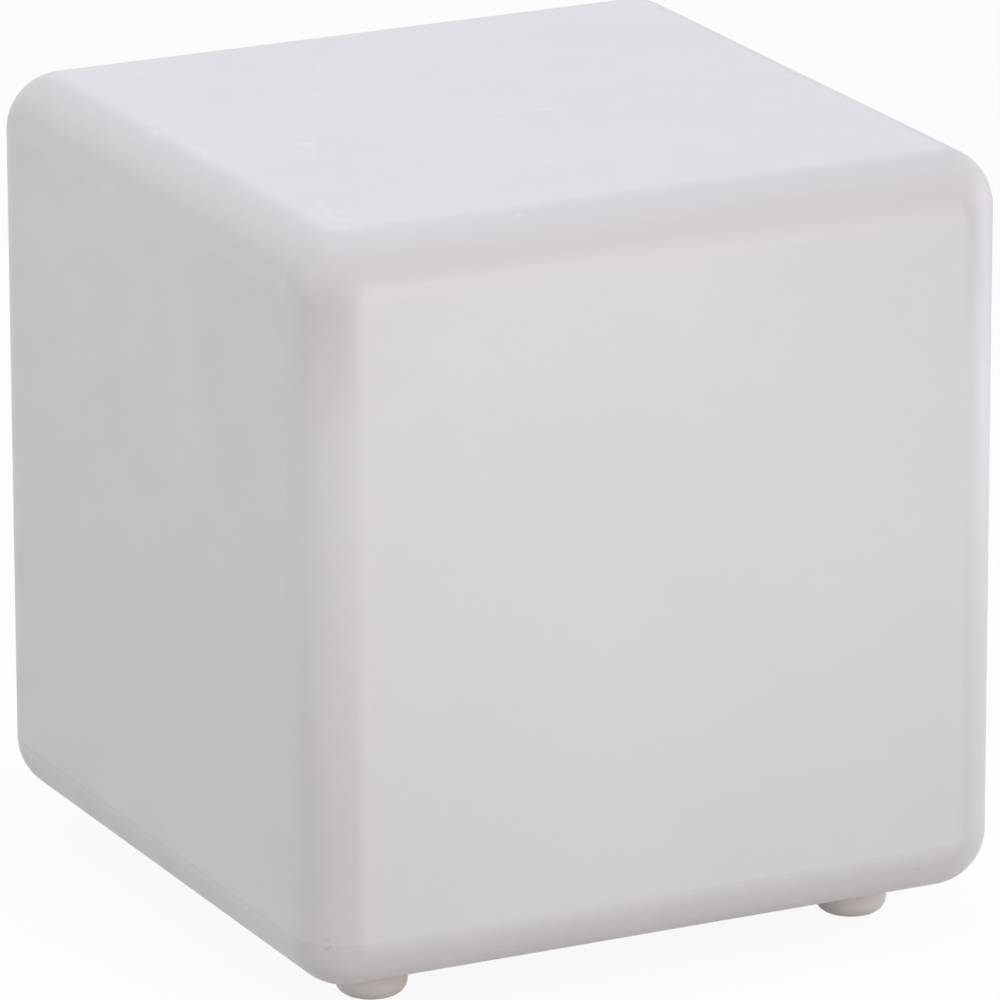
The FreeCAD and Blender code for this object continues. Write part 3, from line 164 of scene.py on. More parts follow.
@labelled
class UnitSizes(bpy.types.PropertyGroup):
    """Sizes of the mounting ring and of the light unit's underside."""

    plate_thickness: length(0.0035, "Base plate of the light unit")
    plate_rounding: length(0.0015, "Lower edge of the base plate")
    column_screws: count(4, "Screws of the base plate")
    column_circle: length(0.0605, "Circle of the base plate's screws")
    column_sink: length(0.003, "Counterbore for a screw in the base plate")
    sink_depth: length(0.002, "Counterbore for a screw in the base plate")
    column_hole: length(0.0017, "Hole for a screw in the base plate")
    bar_length: length(0.096, "Grip bar")
    bar_width: length(0.014, "Grip bar")
    bar_rounding: length(0.003, "Lower edges of the grip bar")
    rib_pitch: length(0.005, "Ribs on the sides of the grip bar")
    rib_radius: length(0.0009, "Ribs on the sides of the grip bar")
    button_hole: length(0.0071, "Hole for the power button")
    socket_hole: length(0.0058, "Hole for the charging socket")
    lens_hole: length(0.0025, "Hole for the charge indicator")
    hole_lip: length(0.0004, "Rounding at the mouths of holes")
    board_circle: length(0.049, "Circle of the board's bosses")
    board_boss: length(0.0035, "Bosses that carry the main board")
    board_bore: length(0.0016, "Screw holes in these bosses")
    board_bore_depth: length(0.009, "Screw holes in these bosses")
    bar_fillet: length(0.001, "Fillet where the grip bar meets the plate")
    ear_side: length(0.0039, "Ears of the cover's hinge")
    ear_thickness: length(0.003, "Ears of the cover's hinge")
    ear_rounding: length(0.0009, "Ears of the cover's hinge")
    pin_end: length(0.00005, "Hinge pin, out of the ears")
    button_radius: length(0.0066, "Power button")
    button_collar: length(0.0063, "Collar, above the button's face")
    collar_thickness: length(0.0012, "Collar of the button")
    stem_radius: length(0.0025, "Stem of the button")
    button_dish: length(0.0003, "Hollow of the button's face")
    button_rounding: length(0.0008, "Edge of the button's face")
    symbol_width: length(0.0007, "Lines of the power symbol")
    plug_height: length(0.0013, "Boss of the cover")
    plug_radius: length(0.004, "Boss of the cover")
    cover_thickness: length(0.002, "Flap of the cover")
    cover_corner: length(0.004, "Corners of the flap")
    cover_edge: length(0.0005, "Edges of the cover")
    web_length: length(0.004, "Web between the flap and its barrel")
    barrel_radius: length(0.0018, "Hinge barrel of the cover")
    barrel_length: length(0.010, "Hinge barrel of the cover")
    barrel_bore: length(0.0009, "Hinge barrel of the cover")
    barrel_room: length(0.0006, "Room between the flap and the barrel")
    tab_length: length(0.0025, "Finger tab of the cover")
    tab_width: length(0.010, "Finger tab of the cover")
    mark_proud: length(0.0003, "Raised marks and symbols")
    mark_circle: length(0.0855, "Circle of the padlocks on the ring")
    lock_turn: angle(45, "Turn from locked to free")
    shackle_width: length(0.0009, "Band of a padlock's shackle")
    shackle_lift: length(0.0012, "Rise of the open padlock's shackle")
    lock_width: length(0.0058, "Body of a padlock")
    lock_height: length(0.0045, "Body of a padlock")
    pointer: length(0.0028, "Pointer on the plate, from its middle to a corner")
    pointer_circle: length(0.0705, "Circle of the plate's marks")
    arrow_width: length(0.0012, "Band of the arrow")
    arrow_head: length(0.0024, "Head of the arrow, from its middle to a corner")
    arrow_gap: angle(6, "Turn between the pointer and the arrow")
    head_gap: angle(1.1, "Turn from the band's end to the arrow's head")
    arrow_sweep: angle(26, "Turn that the arrow takes")
    symbol_gap: angle(50, "Gap in the power symbol's ring")


@labelled
class CubeColours(bpy.types.PropertyGroup):
    """Colours of what shows."""

    shell: colour((0.83, 0.808, 0.797), "Milky plastic of the cube")
    # Colour of the painted shade on the cube's roundings.
    thick: colour((0.65, 0.62, 0.61), "Milky plastic where it is thick")
    foot: colour((0.90, 0.865, 0.84), "Milky plastic of the feet")
    foot_cloud: colour((0.80, 0.765, 0.735), "Duller clouds in the feet")
    unit: colour((0.80, 0.80, 0.79), "White plastic of the light unit")
    button: colour((0.32, 0.33, 0.34), "Grey plastic of the button")
    cover: colour((0.28, 0.29, 0.30), "Grey soft plastic of the socket cover")


@labelled
class StageSettings(bpy.types.PropertyGroup):
    """Camera, floor and light."""

    camera_place: FloatVectorProperty(default=(-2.1639, -4.3960, 1.7374), size=3, unit="LENGTH",
                                      description="Where the camera stands", subtype="TRANSLATION")
    azimuth: angle(-26.21, "Turn of the camera about the upright axis")
    elevation: angle(17.21, "Tilt of the camera below the horizon")
    roll: angle(-0.158, "Turn of the camera about its view")
    lens: FloatProperty(default=350.36, description="Focal length in millimetres", min=1)
    shift: FloatVectorProperty(default=(0.00629, -0.02393), size=2,
                               description="Sideways and upward shift of the picture")
    overhead_power: power(9.9, "Softbox above")
    wide_power: power(2.2, "Large warm light in front")
    front_power: power(0.95, "Small light near the front")
    left_power: power(1.26, "Light on the left")
    right_power: power(3.3, "Cool light on the right")
    room_strength: FloatProperty(default=0.65, description="Even light from all round", min=0)


# Mesh tools


def turned(corners, centre=(0, 0), steps=96, sweep=2 * pi):
    """A surface of revolution about an upright line, as a bmesh.

    Each corner of the section is (distance from the line, level, rounding).
    """
    bm = bmesh.new()
    chain = [bm.verts.new((distance, 0, level)) for distance, level, rounding in corners]
    for pair in zip(chain, chain[1:]):
        bm.edges.new(pair)
    for vert, (distance, level, rounding) in zip(chain, corners):
        if rounding:
            bmesh.ops.bevel(bm, geom=[vert], offset=rounding, offset_type="OFFSET", segments=6,
                            profile=0.5, affect="VERTICES", material=-1)
    bmesh.ops.spin(bm, geom=bm.verts[:] + bm.edges[:], cent=(0, 0, 0), axis=(0, 0, 1), angle=sweep,
                   steps=steps, use_merge=sweep >= 2 * pi - FINE)
    bmesh.ops.remove_doubles(bm, verts=bm.verts, dist=FINE)
    shift(bm, *centre, 0)
    return bm


def block(low, high, rounding=0.0, steps=4):
    """A box between two corners, with all its edges rounded, as a bmesh."""
    bm = bmesh.new()
    low, high = Vector(low), Vector(high)
    bmesh.ops.create_cube(bm, size=1)
    bmesh.ops.scale(bm, verts=bm.verts, vec=high - low)
    shift(bm, *(low + high) / 2)
    if rounding:
        round_edges(bm, bm.edges, rounding, steps)
    return bm


def shift(bm, *vector):
    bmesh.ops.translate(bm, verts=bm.verts, vec=vector)


def turn(bm, angle, axis="Z"):
    """Turns a whole bmesh about an axis through the origin."""
    bmesh.ops.rotate(bm, verts=bm.verts, cent=(0, 0, 0), matrix=Matrix.Rotation(angle, 3, axis))


def round_edges(bm, edges, radius, steps):
    """Rounds edges with arcs."""
    bmesh.ops.bevel(bm, geom=list(edges), offset=radius, offset_type="OFFSET", segments=steps,
                    profile=0.5, affect="EDGES", material=-1, clamp_overlap=True)


def add(bm, *parts):
    """Puts other bmeshes into one, and frees them."""
    for part in parts:
        spare = bpy.data.meshes.new("spare")
        part.to_mesh(spare)
        part.free()
        bm.from_mesh(spare)
        bpy.data.meshes.remove(spare)
    return bm


def fill_level(bm, level, reach):
    """Closes the flat at a level, between the open loops that lie in it within a reach."""
    def lies_flat(edge):
        return len(edge.link_faces) < 2 and all(
            abs(vert.co.z - level) < FINE and max(abs(vert.co.x), abs(vert.co.y)) <= reach + FINE
            for vert in edge.verts)

    rims = [edge for edge in bm.edges if lies_flat(edge)]
    bmesh.ops.triangle_fill(bm, use_beauty=True, use_dissolve=False, edges=rims, normal=(0, 0, 1))


def remove_flat(bm, level):
    """Takes the one face away that lies flat at a level."""
    flat = [face for face in bm.faces if all(abs(vert.co.z - level) < FINE for vert in face.verts)]
    bmesh.ops.delete(bm, geom=flat, context="FACES_ONLY")


def strip(radius, width, start, sweep, level, proud, steps=32):
    """A raised band along an arc, that stands out of a face above it."""
    low, high = level - proud, level + proud
    band = turned(((radius - width / 2, low, proud / 2), (radius + width / 2, low, proud / 2),
                   (radius + width / 2, high, 0), (radius - width / 2, high, 0),
                   (radius - width / 2, low, 0)), steps=steps, sweep=abs(sweep))
    ends = [edge for edge in band.edges if len(edge.link_faces) == 1]
    bmesh.ops.holes_fill(band, edges=ends, sides=0)
    if sweep < 0:
        bmesh.ops.scale(band, verts=band.verts, vec=(1, -1, 1))
    turn(band, start)
    return band


def triangle(radius, proud):
    """A raised triangle that points along -Y, about the origin."""
    bm = bmesh.new()
    bmesh.ops.create_cone(bm, cap_ends=True, segments=3, radius1=radius, radius2=radius, depth=2 * proud)
    turn(bm, pi)
    round_edges(bm, bm.edges, proud * 0.6, 2)
    return bm


def padlock(sizes, lift):
    """A raised padlock, foot inwards; lift raises its shackle out on one side."""
    proud = sizes.mark_proud
    half = sizes.lock_width / 2
    lock = block((-half, 0, -proud), (half, sizes.lock_height, proud), proud * 0.6, 2)
    bend = half * 0.62
    leg_end = -sizes.lock_height * 0.25 - lift
    leg_half = sizes.shackle_width / 2
    shackle = strip(bend, sizes.shackle_width, 0, -pi, 0, proud, steps=20)
    shift(shackle, 0, leg_end, 0)
    legs = []
    for side, inner_end in ((-1, 0.0), (1, -lift)):
        legs.append(block((side * bend - leg_half, leg_end, -proud),
                          (side * bend + leg_half, inner_end + proud, proud), proud * 0.4, 2))
    return add(lock, shackle, *legs)


def ring_places(number, radius):
    """Points at equal angles on a circle about the upright axis."""
    angles = [2 * pi * index / number for index in range(number)]
    return [(radius * cos(angle), radius * sin(angle)) for angle in angles]


def finish_piece(name, bm, body, slot, nodes=()):
    """Makes a piece of a bmesh, smooth apart from its sharp edges, and hands it to the frame."""
    bmesh.ops.remove_doubles(bm, verts=bm.verts, dist=FINE)
    bmesh.ops.recalc_face_normals(bm, faces=bm.faces)
    for face in bm.faces:
        face.smooth = True
    for edge in bm.edges:
        if len(edge.link_faces) == 2:
            edge.smooth = edge.calc_face_angle(0) < SHARP
    mesh = bpy.data.meshes.new(name)
    bm.to_mesh(mesh)
    bm.free()
    piece = bpy.data.objects.new(name, mesh)
    bpy.context.scene.collection.objects.link(piece)
    mesh.materials.append(material_for(slot))
    weighted = piece.modifiers.new("Even Flats", "WEIGHTED_NORMAL")
    weighted.keep_sharp = True
    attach(piece, body)
    if nodes:
        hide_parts(*nodes)
    return piece


# Node tools


def node(tree, kind, inputs=None, **settings):
    """Adds a shader node; an input may be given a value or another node's socket."""
    made = tree.nodes.new(kind)
    for name, value in settings.items():
        setattr(made, name, value)
    for name, value in (inputs or {}).items():
        if isinstance(value, bpy.types.NodeSocket):
            tree.links.new(value, made.inputs[name])
        else:
            made.inputs[name].default_value = value
    return made


def math(tree, operation, first, second=0.0):
    """A Math node's result."""
    return node(tree, "ShaderNodeMath", {0: first, 1: second}, operation=operation).outputs[0]


def ramp(tree, value, low, high, start=0.0, end=1.0):
    """A value carried smoothly from one range to another."""
    made = node(tree, "ShaderNodeMapRange",
                {"Value": value, "From Min": low, "From Max": high, "To Min": start, "To Max": end},
                interpolation_type="SMOOTHSTEP")
    return made.outputs["Result"]


def noise(tree, vector, scale, detail=2.0, roughness=0.5):
    made = node(tree, "ShaderNodeTexNoise",
                {"Vector": vector, "Scale": scale, "Detail": detail, "Roughness": roughness})
    return made.outputs["Fac"]


def blend_colours(tree, factor, first, second):
    """Two colours mixed by a factor."""
    return node(tree, "ShaderNodeMix", {0: factor, 6: first, 7: second}, data_type="RGBA").outputs[2]


def rgba(shade):
    return (*shade[:3], 1.0)


# Groups by name: the function that builds one, its inputs with their defaults, and its results.
GROUPS = {}
# Kinds of the groups' sockets that hold no plain number.
SOCKET_KINDS = {"Vector": "Vector", "Middle": "Vector", "Color": "Color", "Clouds": "Color"}


def node_group(inputs, *results):
    """Keeps a function as the builder of a node group, which also has a vector as its first input."""
    def keep(build):
        GROUPS[build.__name__] = build, {"Vector": (0, 0, 0), **inputs}, results
        return build
    return keep


def make_group(name):
    """Builds a group with named sockets around what its function returns."""
    build, inputs, results = GROUPS[name]
    group = bpy.data.node_groups.new(name, "ShaderNodeTree")
    for side, labels in (("INPUT", inputs), ("OUTPUT", results)):
        for label in labels:
            kind = SOCKET_KINDS.get(label, "Float")
            socket = group.interface.new_socket(label, in_out=side, socket_type=f"NodeSocket{kind}")
            if side == "INPUT":
                socket.default_value = inputs[label]
    made = build(group, group.nodes.new("NodeGroupInput").outputs)
    ends = group.nodes.new("NodeGroupOutput").inputs
    for label, socket in zip(results, made):
        group.links.new(socket, ends[label])
    return group


def use_group(tree, name, inputs=None):
    """A group placed in a material, built the first time that it is asked for."""
    group = bpy.data.node_groups.get(name) or make_group(name)
    return node(tree, "ShaderNodeGroup", inputs, node_tree=group).outputs


@node_group({"Grain": 900.0, "Waves": 14.0, "Wave Share": 0.5}, "Height")
def moulded_grain(group, given):
    """The grain of a moulded surface, over faint broad waves, as a height from 0 to 1."""
    grain = noise(group, given["Vector"], given["Grain"], detail=1.5)
    pits = noise(group, given["Vector"], math(group, "MULTIPLY", given["Grain"], 2.3), detail=0.0)
    waves = noise(group, given["Vector"], given["Waves"], detail=1.0)
    fine = math(group, "ADD", math(group, "MULTIPLY", grain, 0.7), math(group, "MULTIPLY", pits, 0.3))
    return [node(group, "ShaderNodeMix", {0: given["Wave Share"], 2: fine, 3: waves}).outputs[0]]


@node_group({"Color": WHITE, "Clouds": WHITE, "Scale": 9.0, "Amount": 0.3}, "Color", "Mask")
def cloudy_tint(group, given):
    """A colour with soft clouds of a second colour in it."""
    broad = noise(group, given["Vector"], given["Scale"], detail=3.0, roughness=0.55)
    mask = math(group, "MULTIPLY", ramp(group, broad, 0.32, 0.68), given["Amount"])
    return blend_colours(group, mask, given["Color"], given["Clouds"]), mask


@node_group({"Scale": 20.0, "Width": 0.012, "Cover": 0.5}, "Mask")
def fine_scratches(group, given):
    """Short thin scratches in three directions, in patches, as a mask."""
    lines = []
    for direction, stretch, away in ((0.35, 0.22, 3.1), (-0.6, 0.3, 7.7), (1.5, 0.4, 12.4)):
        across = node(group, "ShaderNodeVectorRotate", {"Vector": given["Vector"], "Angle": direction},
                      rotation_type="Z_AXIS").outputs[0]
        drawn_out = node(group, "ShaderNodeMapping", {"Vector": across, "Location": (away, away, 0),
                                                      "Scale": (stretch, 1, 1)}).outputs[0]
        stripes = noise(group, drawn_out, given["Scale"], detail=0.0)
        from_line = math(group, "ABSOLUTE", math(group, "SUBTRACT", stripes, 0.5))
        line = math(group, "SUBTRACT", 1.0, math(group, "DIVIDE", from_line, given["Width"]))
        broken = noise(group, across, math(group, "MULTIPLY", given["Scale"], 0.4))
        patch = ramp(group, math(group, "ADD", broken, given["Cover"]), 0.95, 1.1)
        lines.append(math(group, "MULTIPLY", math(group, "MAXIMUM", line, 0.0), patch))
    return [math(group, "MAXIMUM", lines[0], math(group, "MAXIMUM", lines[1], lines[2]))]


@node_group({"Scale": 300.0, "Amount": 0.5}, "Mask")
def worn_edges(group, given):
    """A mask of the outward edges, broken up by noise."""
    edge = ramp(group, node(group, "ShaderNodeNewGeometry").outputs["Pointiness"], 0.51, 0.56)
    broken = ramp(group, noise(group, given["Vector"], given["Scale"], detail=3.0), 0.35, 0.65)
    return [math(group, "MULTIPLY", math(group, "MULTIPLY", edge, broken), given["Amount"])]


@node_group({"Scale": 1500.0}, "Height")
def turning_marks(group, given):
    """Fine lines that are drawn out along Y, as a height."""
    lines = node(group, "ShaderNodeMapping", {"Vector": given["Vector"], "Scale": (1, 0.02, 1)}).outputs[0]
    return [noise(group, lines, given["Scale"], detail=3.0)]


@node_group({"Middle": (0, 0, 0), "Flat Half": 0.169, "Radius": 0.031}, "Mask")
def thick_edges(group, given):
    """Where the shell's painted shade lies: how near a point lies to the middle of the cube's rounded edges,
    from 0 to 1.
    """
    from_middle = node(group, "ShaderNodeVectorMath", {0: given["Vector"], 1: given["Middle"]},
                       operation="SUBTRACT").outputs[0]
    away = node(group, "ShaderNodeVectorMath", {0: from_middle}, operation="ABSOLUTE").outputs[0]
    shares = []
    for part in node(group, "ShaderNodeSeparateXYZ", {0: away}).outputs:
        beyond = math(group, "SUBTRACT", part, given["Flat Half"])
        shares.append(math(group, "MAXIMUM", math(group, "DIVIDE", beyond, given["Radius"]), 0.0))
    across, along, up = shares
    # An upright edge gets the most painted shade on its front or rear side.
    upright = math(group, "MULTIPLY", math(group, "MULTIPLY", across, along),
                   math(group, "MULTIPLY", along, 1.6))
    level = math(group, "ADD", math(group, "MULTIPLY", along, up), math(group, "MULTIPLY", up, across))
    return [ramp(group, math(group, "ADD", upright, level), 0.0, 0.4)]


def new_material(name, **shader):
    """A material, its tree, its Principled shader and the object's coordinates.

    Constants go straight on the shader's sockets.
    """
    material = bpy.data.materials.new(name)
    material.use_nodes = True
    tree = material.node_tree
    surface = tree.nodes["Principled BSDF"]
    for label, value in shader.items():
        surface.inputs[label.replace("_", " ").title().replace("Ior", "IOR")].default_value = value
    return material, tree, surface, tree.nodes.new("ShaderNodeTexCoord").outputs["Object"]


def dress(tree, surface, shade, roughness, height, depth):
    """Gives a shader its colour, its roughness and a bump of a depth in metres."""
    bump = node(tree, "ShaderNodeBump", {"Height": height, "Distance": depth}).outputs["Normal"]
    for label, socket in (("Base Color", shade), ("Roughness", roughness), ("Normal", bump)):
        tree.links.new(socket, surface.inputs[label])


def moulded_plastic(name, shade, cloud=None, roughness=0.45, grain=900.0, depth=0.00005, wear=0.25,
                    cloud_scale=25.0, **shader):
    """Injection-moulded plastic: grain, soft clouds in its colour, and paler worn edges."""
    material, tree, surface, where = new_material(name, **shader)
    cloud = cloud or [channel * 0.93 for channel in shade]
    tint = use_group(tree, "cloudy_tint", {"Vector": where, "Color": rgba(shade), "Clouds": rgba(cloud),
                                           "Scale": cloud_scale, "Amount": 0.8})
    worn = use_group(tree, "worn_edges", {"Vector": where, "Amount": wear})
    pale = [min(1.0, channel * 1.15 + 0.03) for channel in shade]
    rough = ramp(tree, noise(tree, where, cloud_scale * 3), 0.3, 0.7, roughness - 0.05, roughness + 0.05)
    height = use_group(tree, "moulded_grain", {"Vector": where, "Grain": grain, "Wave Share": 0.3})
    dress(tree, surface, blend_colours(tree, worn["Mask"], tint["Color"], rgba(pale)), rough,
          height["Height"], depth)
    return material


def worked_metal(name, shade, dull, roughness, marks=1500.0):
    """Plated or turned metal: fine marks, dull clouds and bright worn edges."""
    material, tree, surface, where = new_material(name, metallic=1.0)
    tint = use_group(tree, "cloudy_tint", {"Vector": where, "Color": rgba(shade), "Clouds": rgba(dull),
                                           "Scale": 350.0, "Amount": 0.7})
    worn = use_group(tree, "worn_edges", {"Vector": where, "Amount": 0.5})
    bright = [min(1.0, channel * 1.25) for channel in shade]
    rough = math(tree, "ADD", math(tree, "MULTIPLY", tint["Mask"], 0.2), roughness)
    height = use_group(tree, "turning_marks", {"Vector": where, "Scale": marks})
    dress(tree, surface, blend_colours(tree, worn["Mask"], tint["Color"], rgba(bright)), rough,
          height["Height"], 0.00002)
    return material


def distance(tree, where, point):
    return node(tree, "ShaderNodeVectorMath", {0: where, 1: point}, operation="DISTANCE").outputs["Value"]


# Share of the painted shade on the roundings: low down, where it is weakest, and at the top; and the
# levels in metres up to which the first holds and at which the second does.
LOW_SHADE, WEAK_SHADE, TOP_SHADE = 0.48, 0.2, 0.66
LOW_LEVEL, WEAK_LEVEL = 0.10, 0.30
# The scratches end between these places across the top face, and the darker parting line fades over this
# width.
SCRATCHES_END = (0.02, 0.07)
PARTING_DARK_FADE = (0.002, 0.014)
# Two dark specks on the roundings at the lower front corners.
SPECKS = ((-0.1897, -0.1920, 0.0500), (0.1475, -0.1977, 0.0393))
SPECK_SIZE = 0.006
# Colours of the marks on the shell and of the painted light from the floor, and how strongly each shows.
SCRATCH_COLOUR, SCRATCH_SHARE = (0.93, 0.92, 0.93, 1.0), 0.3
NIB_COLOUR, NIB_SHARE = (0.98, 0.97, 0.98, 1.0), 0.3
SPECK_COLOUR, SPECK_SHARE = (0.38, 0.35, 0.33, 1.0), 0.27
PARTING_DARK_COLOUR, PARTING_DARK_LEFT, PARTING_DARK_ELSEWHERE = (0.50, 0.48, 0.46, 1.0), 0.16, 0.03
PAINTED_FLOOR_LIGHT, FLOOR_LIGHT_SHARE = (1.0, 0.945, 0.92, 1.0), 0.95
# How much less rough the scratches are, and how deep they go, as a share of the grain's depth.
SCRATCH_POLISH, SCRATCH_DEPTH = 0.04, 0.02


def clouds_and_rounding_shade(tree, where, height, sizes, colours):
    """The shell's clouded colour, with painted shade on its roundings, most towards the top."""
    tint = use_group(tree, "cloudy_tint", {
        "Vector": where, "Color": rgba(colours.shell),
        "Clouds": rgba([channel * 0.975 for channel in colours.shell]), "Scale": 7.0, "Amount": 0.9})
    middle = (SHELL_LOW + SHELL_HIGH) / 2
    middle.z = SHELL_LOW.z + sizes.side / 2
    thick = use_group(tree, "thick_edges", {
        "Vector": where, "Middle": middle, "Flat Half": sizes.side / 2 - sizes.edge_radius,
        "Radius": sizes.edge_radius})
    towards_top = ramp(tree, height, WEAK_LEVEL, SHELL_HIGH.z - sizes.edge_radius, WEAK_SHADE, TOP_SHADE)
    towards_floor = ramp(tree, height, LOW_LEVEL, WEAK_LEVEL, LOW_SHADE, WEAK_SHADE)
    # Painted shade on the roundings, strongest towards the top and low down.
    share = math(tree, "MULTIPLY", thick["Mask"], math(tree, "MAXIMUM", towards_top, towards_floor))
    return blend_colours(tree, share, tint["Color"], rgba(colours.thick))


def top_scratches(tree, where, across, height):
    """A mask of the scratches on the left half of the top face."""
    scratches = use_group(tree, "fine_scratches", {"Vector": where, "Scale": 52.0, "Width": 0.016,
                                                   "Cover": 0.41})
    on_top = ramp(tree, height, SHELL_HIGH.z - 0.006, SHELL_HIGH.z - 0.002)
    left_half = ramp(tree, across, *SCRATCHES_END, 1.0, 0.0)
    return math(tree, "MULTIPLY", scratches["Mask"], math(tree, "MULTIPLY", on_top, left_half))


def add_marks(tree, where, across, height, shade, sizes):
    """A paler vent nib, the specks, and a darker parting line, most on the left face."""
    nib = (sizes.nib_across, sizes.nib_along, SHELL_HIGH.z)
    radius = sizes.nib_radius
    pale = ramp(tree, distance(tree, where, nib), radius * 0.7, radius * 1.5, NIB_SHARE, 0.0)
    shade = blend_colours(tree, pale, shade, NIB_COLOUR)
    smears = ramp(tree, noise(tree, where, 420.0), 0.5, 0.62)
    for speck in SPECKS:
        near = ramp(tree, distance(tree, where, speck), SPECK_SIZE * 0.2, SPECK_SIZE, SPECK_SHARE, 0.0)
        shade = blend_colours(tree, math(tree, "MULTIPLY", near, smears), shade, SPECK_COLOUR)
    # Darker along the parting line, most on the left face.
    line = SHELL_LOW.z + sizes.parting_height
    from_line = math(tree, "ABSOLUTE", math(tree, "SUBTRACT", height, line))
    start, end = (SHELL_LOW.x + inwards for inwards in PARTING_DARK_FADE)
    on_left = ramp(tree, across, start, end, PARTING_DARK_LEFT, PARTING_DARK_ELSEWHERE)
    darker_line = math(tree, "MULTIPLY", ramp(tree, from_line, 0.0, sizes.parting_width, 1.0, 0.0), on_left)
    return blend_colours(tree, darker_line, shade, PARTING_DARK_COLOUR)


def milky_shell(name, sizes, colours):
    """The cube's translucent plastic, with painted shade on the roundings, scratches on the top, and painted
    light from the floor low down.
    """
    material, tree, surface, where = new_material(
        name, subsurface_weight=0.5, subsurface_radius=(1.0, 0.85, 0.7), subsurface_scale=0.012,
        specular_ior_level=0.45)
    across, _, height = node(tree, "ShaderNodeSeparateXYZ", {0: where}).outputs
    scratched = top_scratches(tree, where, across, height)
    shade = clouds_and_rounding_shade(tree, where, height, sizes, colours)
    shade = blend_colours(tree, math(tree, "MULTIPLY", scratched, SCRATCH_SHARE), shade, SCRATCH_COLOUR)
    shade = add_marks(tree, where, across, height, shade, sizes)
    # Painted light from the floor: paler towards the underside, up to the top of the lower rounding.
    floor_light = ramp(tree, height, SHELL_LOW.z, SHELL_LOW.z + sizes.edge_radius, FLOOR_LIGHT_SHARE, 0.0)
    shade = blend_colours(tree, floor_light, shade, PAINTED_FLOOR_LIGHT)
    rough = ramp(tree, noise(tree, where, 30.0, detail=3.0), 0.3, 0.7, 0.38, 0.46)
    rough = math(tree, "SUBTRACT", rough, math(tree, "MULTIPLY", scratched, SCRATCH_POLISH))
    grain = use_group(tree, "moulded_grain", {"Vector": where, "Grain": 750.0, "Waves": 11.0,
                                              "Wave Share": 0.85})["Height"]
    grain = math(tree, "SUBTRACT", grain, math(tree, "MULTIPLY", scratched, SCRATCH_DEPTH))
    dress(tree, surface, shade, rough, grain, 0.0006)
    return material


def glass_fibre_board(name):
    """A circuit board: green coating over faint copper tracks, with tinned pads."""
    material, tree, surface, where = new_material(name, coat_weight=0.4, coat_roughness=0.2)
    tracks = node(tree, "ShaderNodeTexBrick",
                  {"Vector": where, "Scale": 120.0, "Mortar Size": 0.05, "Mortar Smooth": 0.2,
                   "Brick Width": 0.9, "Row Height": 0.3}).outputs["Fac"]
    board = blend_colours(tree, tracks, (0.012, 0.115, 0.045, 1), (0.03, 0.20, 0.08, 1))
    cells = node(tree, "ShaderNodeTexVoronoi", {"Vector": where, "Scale": 140.0}).outputs["Distance"]
    pads = ramp(tree, cells, 0.10, 0.16, 1.0, 0.0)
    tree.links.new(math(tree, "MULTIPLY", pads, 0.9), surface.inputs["Metallic"])
    dress(tree, surface, blend_colours(tree, pads, board, (0.70, 0.68, 0.62, 1)),
          ramp(tree, pads, 0.0, 1.0, 0.38, 0.25), math(tree, "ADD", tracks, pads), 0.00004)
    return material


def coated_part(name, shade, cloud, cloud_scale, amount, rough_scale, rough, grain, depth, waves=14.0,
                **shader):
    """A small part with clouds in its colour, and a roughness that varies between two values."""
    material, tree, surface, where = new_material(name, **shader)
    tint = use_group(tree, "cloudy_tint", {"Vector": where, "Color": rgba(shade), "Clouds": rgba(cloud),
                                           "Scale": cloud_scale, "Amount": amount})
    if rough_scale:
        varied = ramp(tree, noise(tree, where, rough_scale), 0.3, 0.7, *rough)
    else:
        varied = ramp(tree, tint["Mask"], 0.0, 1.0, *rough)
    height = use_group(tree, "moulded_grain", {"Vector": where, "Grain": grain, "Waves": waves})
    dress(tree, surface, tint["Color"], varied, height["Height"], depth)
    return material


# Moulded parts that need no colour from the panel, by slot.
PLASTICS = {
    "ring_plastic": {"shade": (0.78, 0.78, 0.77), "roughness": 0.4, "grain": 1400.0, "wear": 0.0},
    "seal_rubber": {"shade": (0.52, 0.52, 0.51), "roughness": 0.55, "grain": 1600.0,
                    "cloud_scale": 70.0, "wear": 0.0},
    "switch_plastic": {"shade": (0.025, 0.025, 0.027), "roughness": 0.35, "grain": 2500.0,
                       "cloud_scale": 200.0},
    "tray_plastic": {"shade": (0.03, 0.03, 0.032), "roughness": 0.5, "grain": 1500.0,
                     "cloud_scale": 60.0},
    "board_white": {"shade": (0.82, 0.82, 0.80), "roughness": 0.35, "grain": 1800.0,
                    "depth": 0.00002, "cloud_scale": 70.0, "wear": 0.1},
    "dark_parts": {"shade": (0.03, 0.03, 0.033), "roughness": 0.45, "grain": 3000.0,
                   "depth": 0.00003, "cloud_scale": 250.0},
    "lead_plastic": {"shade": (0.72, 0.70, 0.64), "roughness": 0.4, "grain": 2000.0,
                     "cloud_scale": 150.0},
}
# Colour, dull colour, roughness and scale of the marks of each metal, by slot.
METALS = {
    "screw_steel": ((0.60, 0.60, 0.58), (0.42, 0.42, 0.41), 0.32),
    "pin_steel": ((0.68, 0.68, 0.68), (0.5, 0.5, 0.5), 0.15, 3000.0),
    "contact_metal": ((0.66, 0.62, 0.54), (0.48, 0.44, 0.38), 0.22, 900.0),
    "insert_brass": ((0.72, 0.52, 0.22), (0.5, 0.34, 0.14), 0.28),
}


